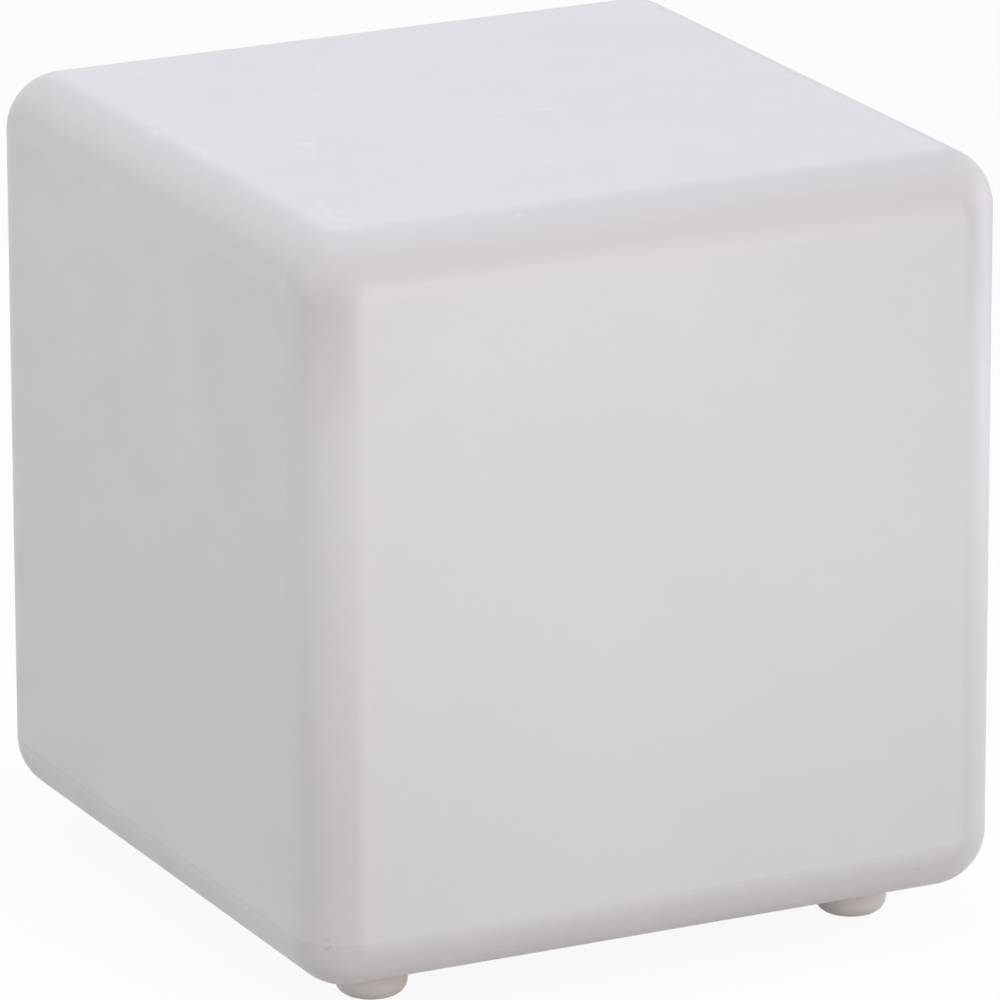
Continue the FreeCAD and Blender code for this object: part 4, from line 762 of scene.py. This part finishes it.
def make_materials(colours, sizes):
    """One material for each slot of the record."""
    return {
        "shell_plastic": milky_shell("shell_plastic", sizes, colours),
        "foot_plastic": moulded_plastic(
            "foot_plastic", colours.foot, cloud=colours.foot_cloud, roughness=0.42, wear=0.1,
            cloud_scale=3.0, subsurface_weight=0.5, subsurface_scale=0.012,
            subsurface_radius=(1.0, 0.8, 0.6)),
        "unit_plastic": moulded_plastic("unit_plastic", colours.unit, roughness=0.42, grain=1200.0,
                                        wear=0.0),
        "button_plastic": moulded_plastic("button_plastic", colours.button, roughness=0.35, grain=2200.0,
                                          depth=0.00003, cloud_scale=120.0),
        "cover_rubber": moulded_plastic("cover_rubber", colours.cover, roughness=0.62, grain=1800.0,
                                        depth=0.00006, cloud_scale=90.0, wear=0.4),
        "board_green": glass_fibre_board("board_green"),
        "lamp_lens": coated_part(
            "lamp_lens", (0.88, 0.80, 0.38), (0.80, 0.70, 0.26), 500.0, 0.8, None, (0.25, 0.4),
            grain=2500.0, depth=0.00002, coat_weight=0.5, coat_roughness=0.15, subsurface_weight=0.2,
            subsurface_scale=0.0006),
        "clear_plastic": coated_part(
            "clear_plastic", (0.93, 0.94, 0.95), (0.86, 0.88, 0.90), 30.0, 0.6, 60.0, (0.34, 0.42),
            grain=1400.0, depth=0.00004, ior=1.58, transmission_weight=0.85),
        "cell_wrap": coated_part(
            "cell_wrap", (0.05, 0.20, 0.42), (0.04, 0.16, 0.35), 60.0, 0.8, 80.0, (0.22, 0.34),
            grain=260.0, depth=0.0001, waves=60.0, coat_weight=0.3, coat_roughness=0.1),
        **{slot: moulded_plastic(slot, **look) for slot, look in PLASTICS.items()},
        **{slot: worked_metal(slot, *look) for slot, look in METALS.items()},
    }


MATERIALS = {}


def material_for(slot):
    """The material of a slot; all of them are made together, the first time."""
    if not MATERIALS:
        scene = bpy.context.scene
        MATERIALS.update(make_materials(scene.cube_colours, scene.cube_shell))
    return MATERIALS[slot]


# Pieces


class CUBELIGHT_OT_shell(bpy.types.Operator):
    """Build the hollow moulded shell with its recess, parting line and vent nib"""

    bl_idname = "cubelight.shell"
    bl_label = "Shell"

    def execute(self, context):
        sizes = context.scene.cube_shell
        half = sizes.side / 2
        floor = SHELL_LOW.z
        top = floor + sizes.side
        roof = floor + sizes.recess_depth
        roof_top = roof + sizes.wall
        inner_floor = floor + sizes.wall
        tub = sizes.recess_radius + sizes.wall
        rim = sizes.recess_rounding

        outer = block((-half, -half, floor), (half, half, top), sizes.edge_radius, sizes.edge_steps)
        self.raise_parting_line(outer, floor + sizes.parting_height, sizes)
        remove_flat(outer, floor)
        remove_flat(outer, top)
        inner_half = half - sizes.wall
        inner = block((-inner_half, -inner_half, inner_floor), (inner_half, inner_half, top - sizes.wall),
                      sizes.edge_radius - sizes.wall, sizes.edge_steps)
        remove_flat(inner, inner_floor)

        recess = turned(((sizes.recess_radius + rim * 2, floor, 0), (sizes.recess_radius, floor, rim),
                         (sizes.recess_radius, roof, rim), (sizes.recess_radius - rim * 2, roof, 0)),
                        steps=192)
        opening = turned(((sizes.opening_radius, roof, 0), (sizes.opening_radius, roof_top, 0)), steps=192)
        tub_wall = turned(((tub - rim * 3, roof_top, 0), (tub, roof_top, rim * 2), (tub, inner_floor, 0)),
                          steps=192)
        nib = turned(((sizes.nib_radius * 1.5, top, 0), (sizes.nib_radius, top, sizes.nib_radius * 0.45),
                      (sizes.nib_radius * 0.35, top + sizes.nib_height, sizes.nib_radius * 0.3),
                      (0, top + sizes.nib_height, 0)), (sizes.nib_across, sizes.nib_along), steps=48)
        bosses = []
        for centre in FOOT_PLACES.values():
            for radius, start, height, rounding in (
                    (sizes.insert_radius, floor, sizes.insert_depth, 0),
                    (sizes.boss_radius, inner_floor, sizes.boss_height, sizes.boss_rounding)):
                bosses.append(turned(((radius, start, 0), (radius, floor + height, rounding),
                                      (0, floor + height, 0)), centre, steps=32))
        bm = add(outer, inner, recess, opening, tub_wall, nib, *bosses)
        bmesh.ops.remove_doubles(bm, verts=bm.verts, dist=FINE)
        for level, reach in ((floor, half), (inner_floor, half), (roof, tub), (roof_top, tub), (top, half)):
            fill_level(bm, level, reach)
        finish_piece("moulded_shell", bm, "cube", "shell_plastic", ("shell",))
        return {"FINISHED"}

    def raise_parting_line(self, bm, level, sizes):
        """Cuts loops about the parting level, and then moves the middle ones out of the faces."""
        raised = {-0.5: 0.0, -0.25: 0.7, 0.0: 1.0, 0.25: 0.7, 0.5: 0.0}
        heights = {level + share * sizes.parting_width: proud for share, proud in raised.items()}
        for height in heights:
            bmesh.ops.bisect_plane(bm, geom=bm.verts[:] + bm.edges[:] + bm.faces[:], dist=FINE,
                                   plane_co=(0, 0, height), plane_no=(0, 0, 1))
        for height, proud in heights.items():
            loop = [vert for vert in bm.verts if abs(vert.co.z - height) < FINE]
            growth = 1 + proud * sizes.parting_proud / (sizes.side / 2)
            bmesh.ops.scale(bm, verts=loop, vec=(growth, growth, 1))


class CUBELIGHT_OT_feet(bpy.types.Operator):
    """Build the four round feet"""

    bl_idname = "cubelight.feet"
    bl_label = "Feet"

    def execute(self, context):
        sizes = context.scene.cube_feet
        radius = (FOOT_HIGH.x - FOOT_LOW.x) / 2
        top = FOOT_HIGH.z
        for name, centre in FOOT_PLACES.items():
            bm = turned(((sizes.screw_radius, sizes.bore_depth, 0),
                         (sizes.bore_radius, sizes.bore_depth, sizes.lip / 2),
                         (sizes.bore_radius, 0, sizes.lip), (radius, 0, sizes.rounding),
                         (radius, top, sizes.lip), (sizes.screw_radius, top, 0),
                         (sizes.screw_radius, sizes.bore_depth, 0)), centre, steps=96)
            finish_piece(f"{name}_foot", bm, "cube", "foot_plastic", (f"foot_{name}",))
        return {"FINISHED"}


class CUBELIGHT_OT_ring_marks(bpy.types.Operator):
    """Raise the closed and the open padlock on the mounting ring"""

    bl_idname = "cubelight.ring_marks"
    bl_label = "Marks on the Ring"

    def execute(self, context):
        sizes = context.scene.cube_unit
        marks = bmesh.new()
        for along, lift in ((0.0, 0.0), (sizes.lock_turn, sizes.shackle_lift)):
            lock = padlock(sizes, lift)
            shift(lock, 0, -sizes.mark_circle, RING_LOW.z)
            turn(lock, -along)
            add(marks, lock)
        finish_piece("padlock_marks", marks, "cube", "button_plastic")
        return {"FINISHED"}


class CUBELIGHT_OT_base_plate(bpy.types.Operator):
    """Build the base plate with its ribbed grip bar, bosses, hinge ears and marks"""

    bl_idname = "cubelight.base_plate"
    bl_label = "Base Plate"

    def execute(self, context):
        sizes = context.scene.cube_unit
        over = GASKET_LOW.z
        under = over - sizes.plate_thickness
        radius = (PLATE_HIGH.x - PLATE_LOW.x) / 2
        edge = sizes.plate_rounding
        bm = turned(((radius - edge * 2, under, 0), (radius, under, edge), (radius, over, edge / 4),
                     (radius - edge * 2, over, 0)), steps=160)
        lip = sizes.hole_lip
        for hole, centre in ((sizes.button_hole, BUTTON_CENTRE), (sizes.socket_hole, SOCKET_CENTRE),
                             (sizes.lens_hole, LENS_CENTRE)):
            add(bm, turned(((hole + lip * 2, under, 0), (hole, under, lip), (hole, over, 0)),
                           (centre.x, centre.y), steps=64))
        for centre in ring_places(sizes.column_screws, sizes.column_circle):
            seat = under + sizes.sink_depth
            add(bm, turned(((sizes.column_sink + lip, under, 0), (sizes.column_sink, under, lip / 2),
                            (sizes.column_sink, seat, 0), (sizes.column_hole, seat, 0),
                            (sizes.column_hole, over, 0)), centre, steps=32))
        for centre in ring_places(sizes.column_screws, sizes.board_circle):
            bore_end = PLATE_HIGH.z - sizes.board_bore_depth
            add(bm, turned(((sizes.board_boss, over, 0), (sizes.board_boss, PLATE_HIGH.z, lip / 2),
                            (sizes.board_bore, PLATE_HIGH.z, 0), (sizes.board_bore, bore_end, 0),
                            (0, bore_end, 0)), centre, steps=32))
        add(bm, self.grip_bar(sizes, under))
        fill_level(bm, under, radius)
        fill_level(bm, over, radius)
        add(bm, *self.ribs(sizes, under), *self.ears(sizes, under))
        finish_piece("grip_plate", bm, "light_unit", "unit_plastic", ("base_plate",))
        finish_piece("turn_marks", add(*self.marks(sizes, under)), "light_unit", "button_plastic")
        return {"FINISHED"}

    def grip_bar(self, sizes, under):
        """The bar, open where it meets the plate, with a small fillet there."""
        half_length, half_width = sizes.bar_length / 2, sizes.bar_width / 2
        fillet = sizes.bar_fillet
        bm = block((-half_length, -half_width, PLATE_LOW.z), (half_length, half_width, under - fillet))
        round_edges(bm, [edge for edge in bm.edges if abs(edge.verts[0].co.z - edge.verts[1].co.z) > fillet],
                    half_width * 0.93, 10)
        remove_flat(bm, under - fillet)
        low = [edge for edge in bm.edges if all(abs(vert.co.z - PLATE_LOW.z) < FINE for vert in edge.verts)]
        round_edges(bm, low, sizes.bar_rounding, 6)
        rim = [edge for edge in bm.edges if len(edge.link_faces) == 1]
        for out, up in ((0.13, 0.5), (0.37, 0.37), (0.5, 0.13)):
            made = bmesh.ops.extrude_edge_only(bm, edges=rim)["geom"]
            rising = [item for item in made if isinstance(item, bmesh.types.BMVert)]
            rim = [item for item in made if isinstance(item, bmesh.types.BMEdge)]
            growth = (1 + out * fillet / half_length, 1 + out * fillet / half_width, 1)
            bmesh.ops.scale(bm, verts=rising, vec=growth)
            bmesh.ops.translate(bm, verts=rising, vec=(0, 0, up * fillet))
        return bm

    def ribs(self, sizes, under):
        """Upright half-round ribs along both sides of the bar."""
        steps = int((sizes.bar_length / 2 - sizes.bar_width / 2) / sizes.rib_pitch)
        low = PLATE_LOW.z + sizes.bar_rounding
        high = under - sizes.bar_fillet
        ribs = []
        for side in (-1, 1):
            away = side * (sizes.bar_width / 2 - sizes.rib_radius * 0.35)
            for step in range(-steps, steps + 1):
                ribs.append(turned(((0, low, 0), (sizes.rib_radius, low, sizes.rib_radius * 0.8),
                                    (sizes.rib_radius, high, sizes.rib_radius * 0.8), (0, high, 0)),
                                   (step * sizes.rib_pitch, away), steps=16))
        return ribs

    def ears(self, sizes, under):
        """The two ears that hold the cover's hinge pin."""
        half = sizes.ear_side / 2
        pin = PIN_CENTRE
        ears = []
        for start, end in ((PIN_LOW.y, PIN_LOW.y + sizes.ear_thickness),
                           (PIN_HIGH.y - sizes.ear_thickness, PIN_HIGH.y)):
            ears.append(block((pin.x - half, start + sizes.pin_end, pin.z - half),
                              (pin.x + half, end - sizes.pin_end, under + sizes.plate_thickness / 2),
                              sizes.ear_rounding, 4))
        return ears

    def marks(self, sizes, under):
        """A pointer at the plate's front edge, and an arrow the way that the unit turns free."""
        pointer = triangle(sizes.pointer, sizes.mark_proud)
        shift(pointer, 0, -sizes.pointer_circle, under)
        start, sweep = -pi / 2 - sizes.arrow_gap, -sizes.arrow_sweep
        band = strip(sizes.pointer_circle, sizes.arrow_width, start, sweep, under, sizes.mark_proud)
        head = triangle(sizes.arrow_head, sizes.mark_proud)
        turn(head, -pi / 2)
        shift(head, 0, -sizes.pointer_circle, under)
        turn(head, sweep - sizes.arrow_gap - sizes.head_gap)
        return pointer, band, head


class CUBELIGHT_OT_button(bpy.types.Operator):
    """Build the power button with its raised symbol"""

    bl_idname = "cubelight.button"
    bl_label = "Power Button"

    def execute(self, context):
        sizes = context.scene.cube_unit
        face = BUTTON_LOW.z
        radius = sizes.button_radius
        collar = face + sizes.button_collar
        collar_top = collar + sizes.collar_thickness
        collar_radius = (BUTTON_HIGH.x - BUTTON_LOW.x) / 2
        centre = (BUTTON_CENTRE.x, BUTTON_CENTRE.y)
        dish = sizes.button_dish
        bm = turned(((0, face + dish, 0), (radius * 0.55, face + dish * 0.8, 0), (radius * 0.8, face, 0),
                     (radius, face, sizes.button_rounding), (radius, collar, 0), (collar_radius, collar, 0),
                     (collar_radius, collar_top, 0), (sizes.stem_radius, collar_top, 0),
                     (sizes.stem_radius, BUTTON_HIGH.z, 0), (0, BUTTON_HIGH.z, 0)), centre, steps=64)
        gap = sizes.symbol_gap
        arc = strip(radius * 0.42, sizes.symbol_width, pi / 2 + gap / 2, 2 * pi - gap, 0, dish, steps=40)
        half = sizes.symbol_width / 2
        bar = block((-half, radius * 0.12, -dish), (half, radius * 0.62, dish), half * 0.6, 2)
        symbol = add(arc, bar)
        shift(symbol, *centre, face + dish)
        finish_piece("touch_button", bm, "power_button", "button_plastic", ("power_button",))
        finish_piece("power_symbol", symbol, "power_button", "unit_plastic")
        return {"FINISHED"}


class CUBELIGHT_OT_socket_cover(bpy.types.Operator):
    """Build the hinged cover of the charging socket"""

    bl_idname = "cubelight.socket_cover"
    bl_label = "Socket Cover"

    def execute(self, context):
        sizes = context.scene.cube_unit
        pin = PIN_CENTRE
        top = COVER_HIGH.z - sizes.plug_height
        bottom = top - sizes.cover_thickness
        middle = SOCKET_CENTRE.y
        bm = block((COVER_LOW.x, COVER_LOW.y, bottom),
                   (pin.x - sizes.barrel_radius - sizes.barrel_room, COVER_HIGH.y, top))
        upright = [edge for edge in bm.edges if edge.verts[0].co.x < COVER_LOW.x + FINE
                   and edge.verts[1].co.x < COVER_LOW.x + FINE
                   and abs(edge.verts[0].co.z - edge.verts[1].co.z) > FINE]
        round_edges(bm, upright, sizes.cover_corner, 8)
        round_edges(bm, [edge for edge in bm.edges if edge.calc_face_angle(0) > radians(60)],
                    sizes.cover_edge, 4)
        web = block((pin.x - sizes.web_length, middle - sizes.barrel_length / 2, bottom),
                    (pin.x - sizes.barrel_bore * 1.3, middle + sizes.barrel_length / 2, top),
                    sizes.cover_edge, 3)
        reach = sizes.barrel_length / 2
        barrel = turned(((sizes.barrel_bore, -reach, 0), (sizes.barrel_radius, -reach, sizes.cover_edge),
                         (sizes.barrel_radius, reach, sizes.cover_edge), (sizes.barrel_bore, reach, 0),
                         (sizes.barrel_bore, -reach, 0)), steps=32)
        turn(barrel, pi / 2, "X")
        shift(barrel, pin.x, middle, pin.z)
        plug = turned(((0, top - sizes.cover_edge, 0), (sizes.plug_radius, top - sizes.cover_edge, 0),
                       (sizes.plug_radius, COVER_HIGH.z, sizes.cover_edge), (0, COVER_HIGH.z, 0)),
                      (SOCKET_CENTRE.x, middle), steps=48)
        tab = block((COVER_LOW.x, middle - sizes.tab_width / 2, COVER_LOW.z),
                    (COVER_LOW.x + sizes.tab_length, middle + sizes.tab_width / 2, top - sizes.cover_edge),
                    sizes.cover_edge * 1.5, 4)
        grips = []
        for step in range(3):
            along = COVER_LOW.x + sizes.tab_length * 2 + step * sizes.tab_length * 0.8
            grips.append(block((along, middle - sizes.tab_width / 2, bottom - sizes.mark_proud),
                               (along + sizes.tab_length * 0.35, middle + sizes.tab_width / 2,
                                bottom + sizes.mark_proud), sizes.mark_proud * 0.9, 3))
        proud = sizes.mark_proud
        rim = strip(sizes.socket_hole * 0.9, sizes.arrow_width * 0.6, 0, 2 * pi, bottom, proud, steps=48)
        dot = turned(((0, bottom - proud, 0), (sizes.arrow_width, bottom - proud, proud * 0.6),
                      (sizes.arrow_width, bottom + proud, 0), (0, bottom + proud, 0)), steps=24)
        socket_sign = add(rim, dot)
        shift(socket_sign, SOCKET_CENTRE.x, middle, 0)
        add(bm, web, barrel, plug, tab, *grips, socket_sign)
        finish_piece("rubber_cover", bm, "socket_cover", "cover_rubber", ("socket_cover",))
        return {"FINISHED"}


class CUBELIGHT_OT_finishes(bpy.types.Operator):
    """Give the carried-over parts of the frame their materials"""

    bl_idname = "cubelight.finishes"
    bl_label = "Finishes of the Inner Parts"

    def execute(self, context):
        for subpart in frame["record"]["subparts"]:
            carried = frame["nodes"][subpart["node"]]
            for slot in carried.material_slots:
                slot.material = material_for(subpart["material_slot"])
        return {"FINISHED"}


FLOOR_REACH = 30
# What the floor gives back to the cube, what it shows in its own light, and how white it is shown.
FLOOR_BOUNCE = (0.45, 0.437, 0.424, 1)
FLOOR_BRIGHT = (0.9, 0.9, 0.9, 1)
FLOOR_WHITE_SHARE = 0.92
ROOM_COLOUR = (0.99, 0.965, 1.0, 1)
# Name, place, the point that it is aimed at, size in metres and colour of each lamp.
LAMPS = (
    ("overhead", (0.1, 0.35, 2.1), (0, 0.05, 0.42), (1.5, 1.5), (0.78, 0.83, 1.0)),
    ("wide", (0.1, -1.3, 0.45), (0, -0.2, 0.25), (1.2, 0.8), (0.95, 0.88, 0.79)),
    ("front", (-0.05, -0.80, 0.37), (-0.05, -0.2, 0.33), (0.35, 0.35), (1.0, 0.98, 0.97)),
    ("left", (-0.95, -0.05, 0.55), (-0.2, 0.0, 0.30), (0.6, 0.6), (0.97, 1.0, 0.90)),
    ("right", (1.1, -0.25, 0.30), (0.2, -0.15, 0.25), (0.6, 0.6), (0.75, 0.80, 1.0)),
)


class CUBELIGHT_OT_stage(bpy.types.Operator):
    """Set up the floor, the light and the camera"""

    bl_idname = "cubelight.stage"
    bl_label = "Stage"

    def execute(self, context):
        settings = context.scene.cube_stage
        self.make_camera(context, settings)
        self.make_floor()
        self.make_room(context, settings.room_strength)
        for name, where, towards, size, shade in LAMPS:
            self.make_lamp(f"{name}_softbox", where, towards, size, getattr(settings, f"{name}_power"), shade)
        context.scene.view_settings.view_transform = "Standard"
        return {"FINISHED"}

    def make_camera(self, context, settings):
        data = bpy.data.cameras.new("photo_camera")
        data.lens = settings.lens
        data.sensor_width = 36
        data.shift_x, data.shift_y = settings.shift
        camera = bpy.data.objects.new("photo_camera", data)
        camera.matrix_world = (Matrix.Translation(settings.camera_place)
                               @ Matrix.Rotation(settings.azimuth, 4, "Z")
                               @ Matrix.Rotation(pi / 2 - settings.elevation, 4, "X")
                               @ Matrix.Rotation(settings.roll, 4, "Z"))
        context.scene.collection.objects.link(camera)
        context.scene.camera = camera

    def make_floor(self):
        """A wide pale floor, nearly white with the shadow left on it, and clear from below."""
        bm = bmesh.new()
        bmesh.ops.create_grid(bm, x_segments=1, y_segments=1, size=FLOOR_REACH)
        mesh = bpy.data.meshes.new("floor")
        bm.to_mesh(mesh)
        bm.free()
        floor = bpy.data.objects.new("floor", mesh)
        bpy.context.scene.collection.objects.link(floor)
        material = bpy.data.materials.new("pale_floor")
        material.use_nodes = True
        tree = material.node_tree
        tree.nodes.clear()
        rays = tree.nodes.new("ShaderNodeLightPath").outputs
        bounce = node(tree, "ShaderNodeBsdfDiffuse", {"Color": FLOOR_BOUNCE})
        bright = node(tree, "ShaderNodeBsdfDiffuse", {"Color": FLOOR_BRIGHT})
        shown = self.mixed(tree, FLOOR_WHITE_SHARE, bright, node(tree, "ShaderNodeEmission"))
        both = self.mixed(tree, self.seen_directly(tree, rays), bounce, shown)
        back = tree.nodes.new("ShaderNodeNewGeometry").outputs["Backfacing"]
        from_below = math(tree, "MULTIPLY", rays["Is Camera Ray"], back)
        whole = self.mixed(tree, from_below, both, node(tree, "ShaderNodeBsdfTransparent"))
        node(tree, "ShaderNodeOutputMaterial", {"Surface": whole.outputs[0]})
        mesh.materials.append(material)

    def mixed(self, tree, factor, first, second):
        return node(tree, "ShaderNodeMixShader", {0: factor, 1: first.outputs[0], 2: second.outputs[0]})

    def seen_directly(self, tree, rays):
        """A mask of the rays that should meet white: the camera's, and those in gloss and glass."""
        glossy = math(tree, "MAXIMUM", rays["Is Glossy Ray"], rays["Is Transmission Ray"])
        return math(tree, "MAXIMUM", rays["Is Camera Ray"], glossy)

    def make_room(self, context, strength):
        """Even light from all round; what is seen directly is plain white."""
        world = bpy.data.worlds.new("white_room")
        context.scene.world = world
        world.use_nodes = True
        tree = world.node_tree
        tree.nodes.clear()
        rays = tree.nodes.new("ShaderNodeLightPath").outputs
        light = node(tree, "ShaderNodeBackground", {"Color": ROOM_COLOUR, "Strength": strength})
        white = node(tree, "ShaderNodeBackground", {"Color": WHITE})
        both = self.mixed(tree, self.seen_directly(tree, rays), light, white)
        node(tree, "ShaderNodeOutputWorld", {"Surface": both.outputs[0]})

    def make_lamp(self, name, where, towards, size, power, shade):
        data = bpy.data.lights.new(name, "AREA")
        data.shape = "RECTANGLE"
        data.size, data.size_y = size
        data.energy = power
        data.color = shade
        lamp = bpy.data.objects.new(name, data)
        lamp.location = where
        lamp.rotation_euler = (Vector(towards) - Vector(where)).to_track_quat("-Z", "Y").to_euler()
        lamp.visible_camera = False
        bpy.context.scene.collection.objects.link(lamp)


class CUBELIGHT_PT_panel(bpy.types.Panel):
    """Lists the pieces and the sizes of the cube light"""

    bl_idname = "CUBELIGHT_PT_panel"
    bl_label = "Cube Light"
    bl_space_type = "VIEW_3D"
    bl_region_type = "UI"
    bl_category = "Cube Light"

    def draw(self, context):
        for name, group in PROPERTY_GROUPS.items():
            box = self.layout.box()
            for size in group.__annotations__:
                box.prop(getattr(context.scene, name), size)
        for operator in OPERATORS:
            self.layout.operator(operator.bl_idname)


PROPERTY_GROUPS = {"cube_shell": ShellSizes, "cube_feet": FootSizes, "cube_unit": UnitSizes,
                   "cube_colours": CubeColours, "cube_stage": StageSettings}
OPERATORS = (CUBELIGHT_OT_finishes, CUBELIGHT_OT_shell, CUBELIGHT_OT_feet, CUBELIGHT_OT_ring_marks,
             CUBELIGHT_OT_base_plate, CUBELIGHT_OT_button, CUBELIGHT_OT_socket_cover,
             CUBELIGHT_OT_stage)


CLASSES = (*PROPERTY_GROUPS.values(), *OPERATORS, CUBELIGHT_PT_panel)


def register():
    for item in CLASSES:
        bpy.utils.register_class(item)
    for name, group in PROPERTY_GROUPS.items():
        setattr(bpy.types.Scene, name, PointerProperty(type=group))


def unregister():
    for name in PROPERTY_GROUPS:
        delattr(bpy.types.Scene, name)
    for item in reversed(CLASSES):
        bpy.utils.unregister_class(item)


def main():
    register()
    bpy.ops.cubelight.finishes()
    bpy.ops.cubelight.shell()
    bpy.ops.cubelight.feet()
    bpy.ops.cubelight.ring_marks()
    bpy.ops.cubelight.base_plate()
    bpy.ops.cubelight.button()
    bpy.ops.cubelight.socket_cover()
    bpy.ops.cubelight.stage()


if __name__ == "__main__":
    main()
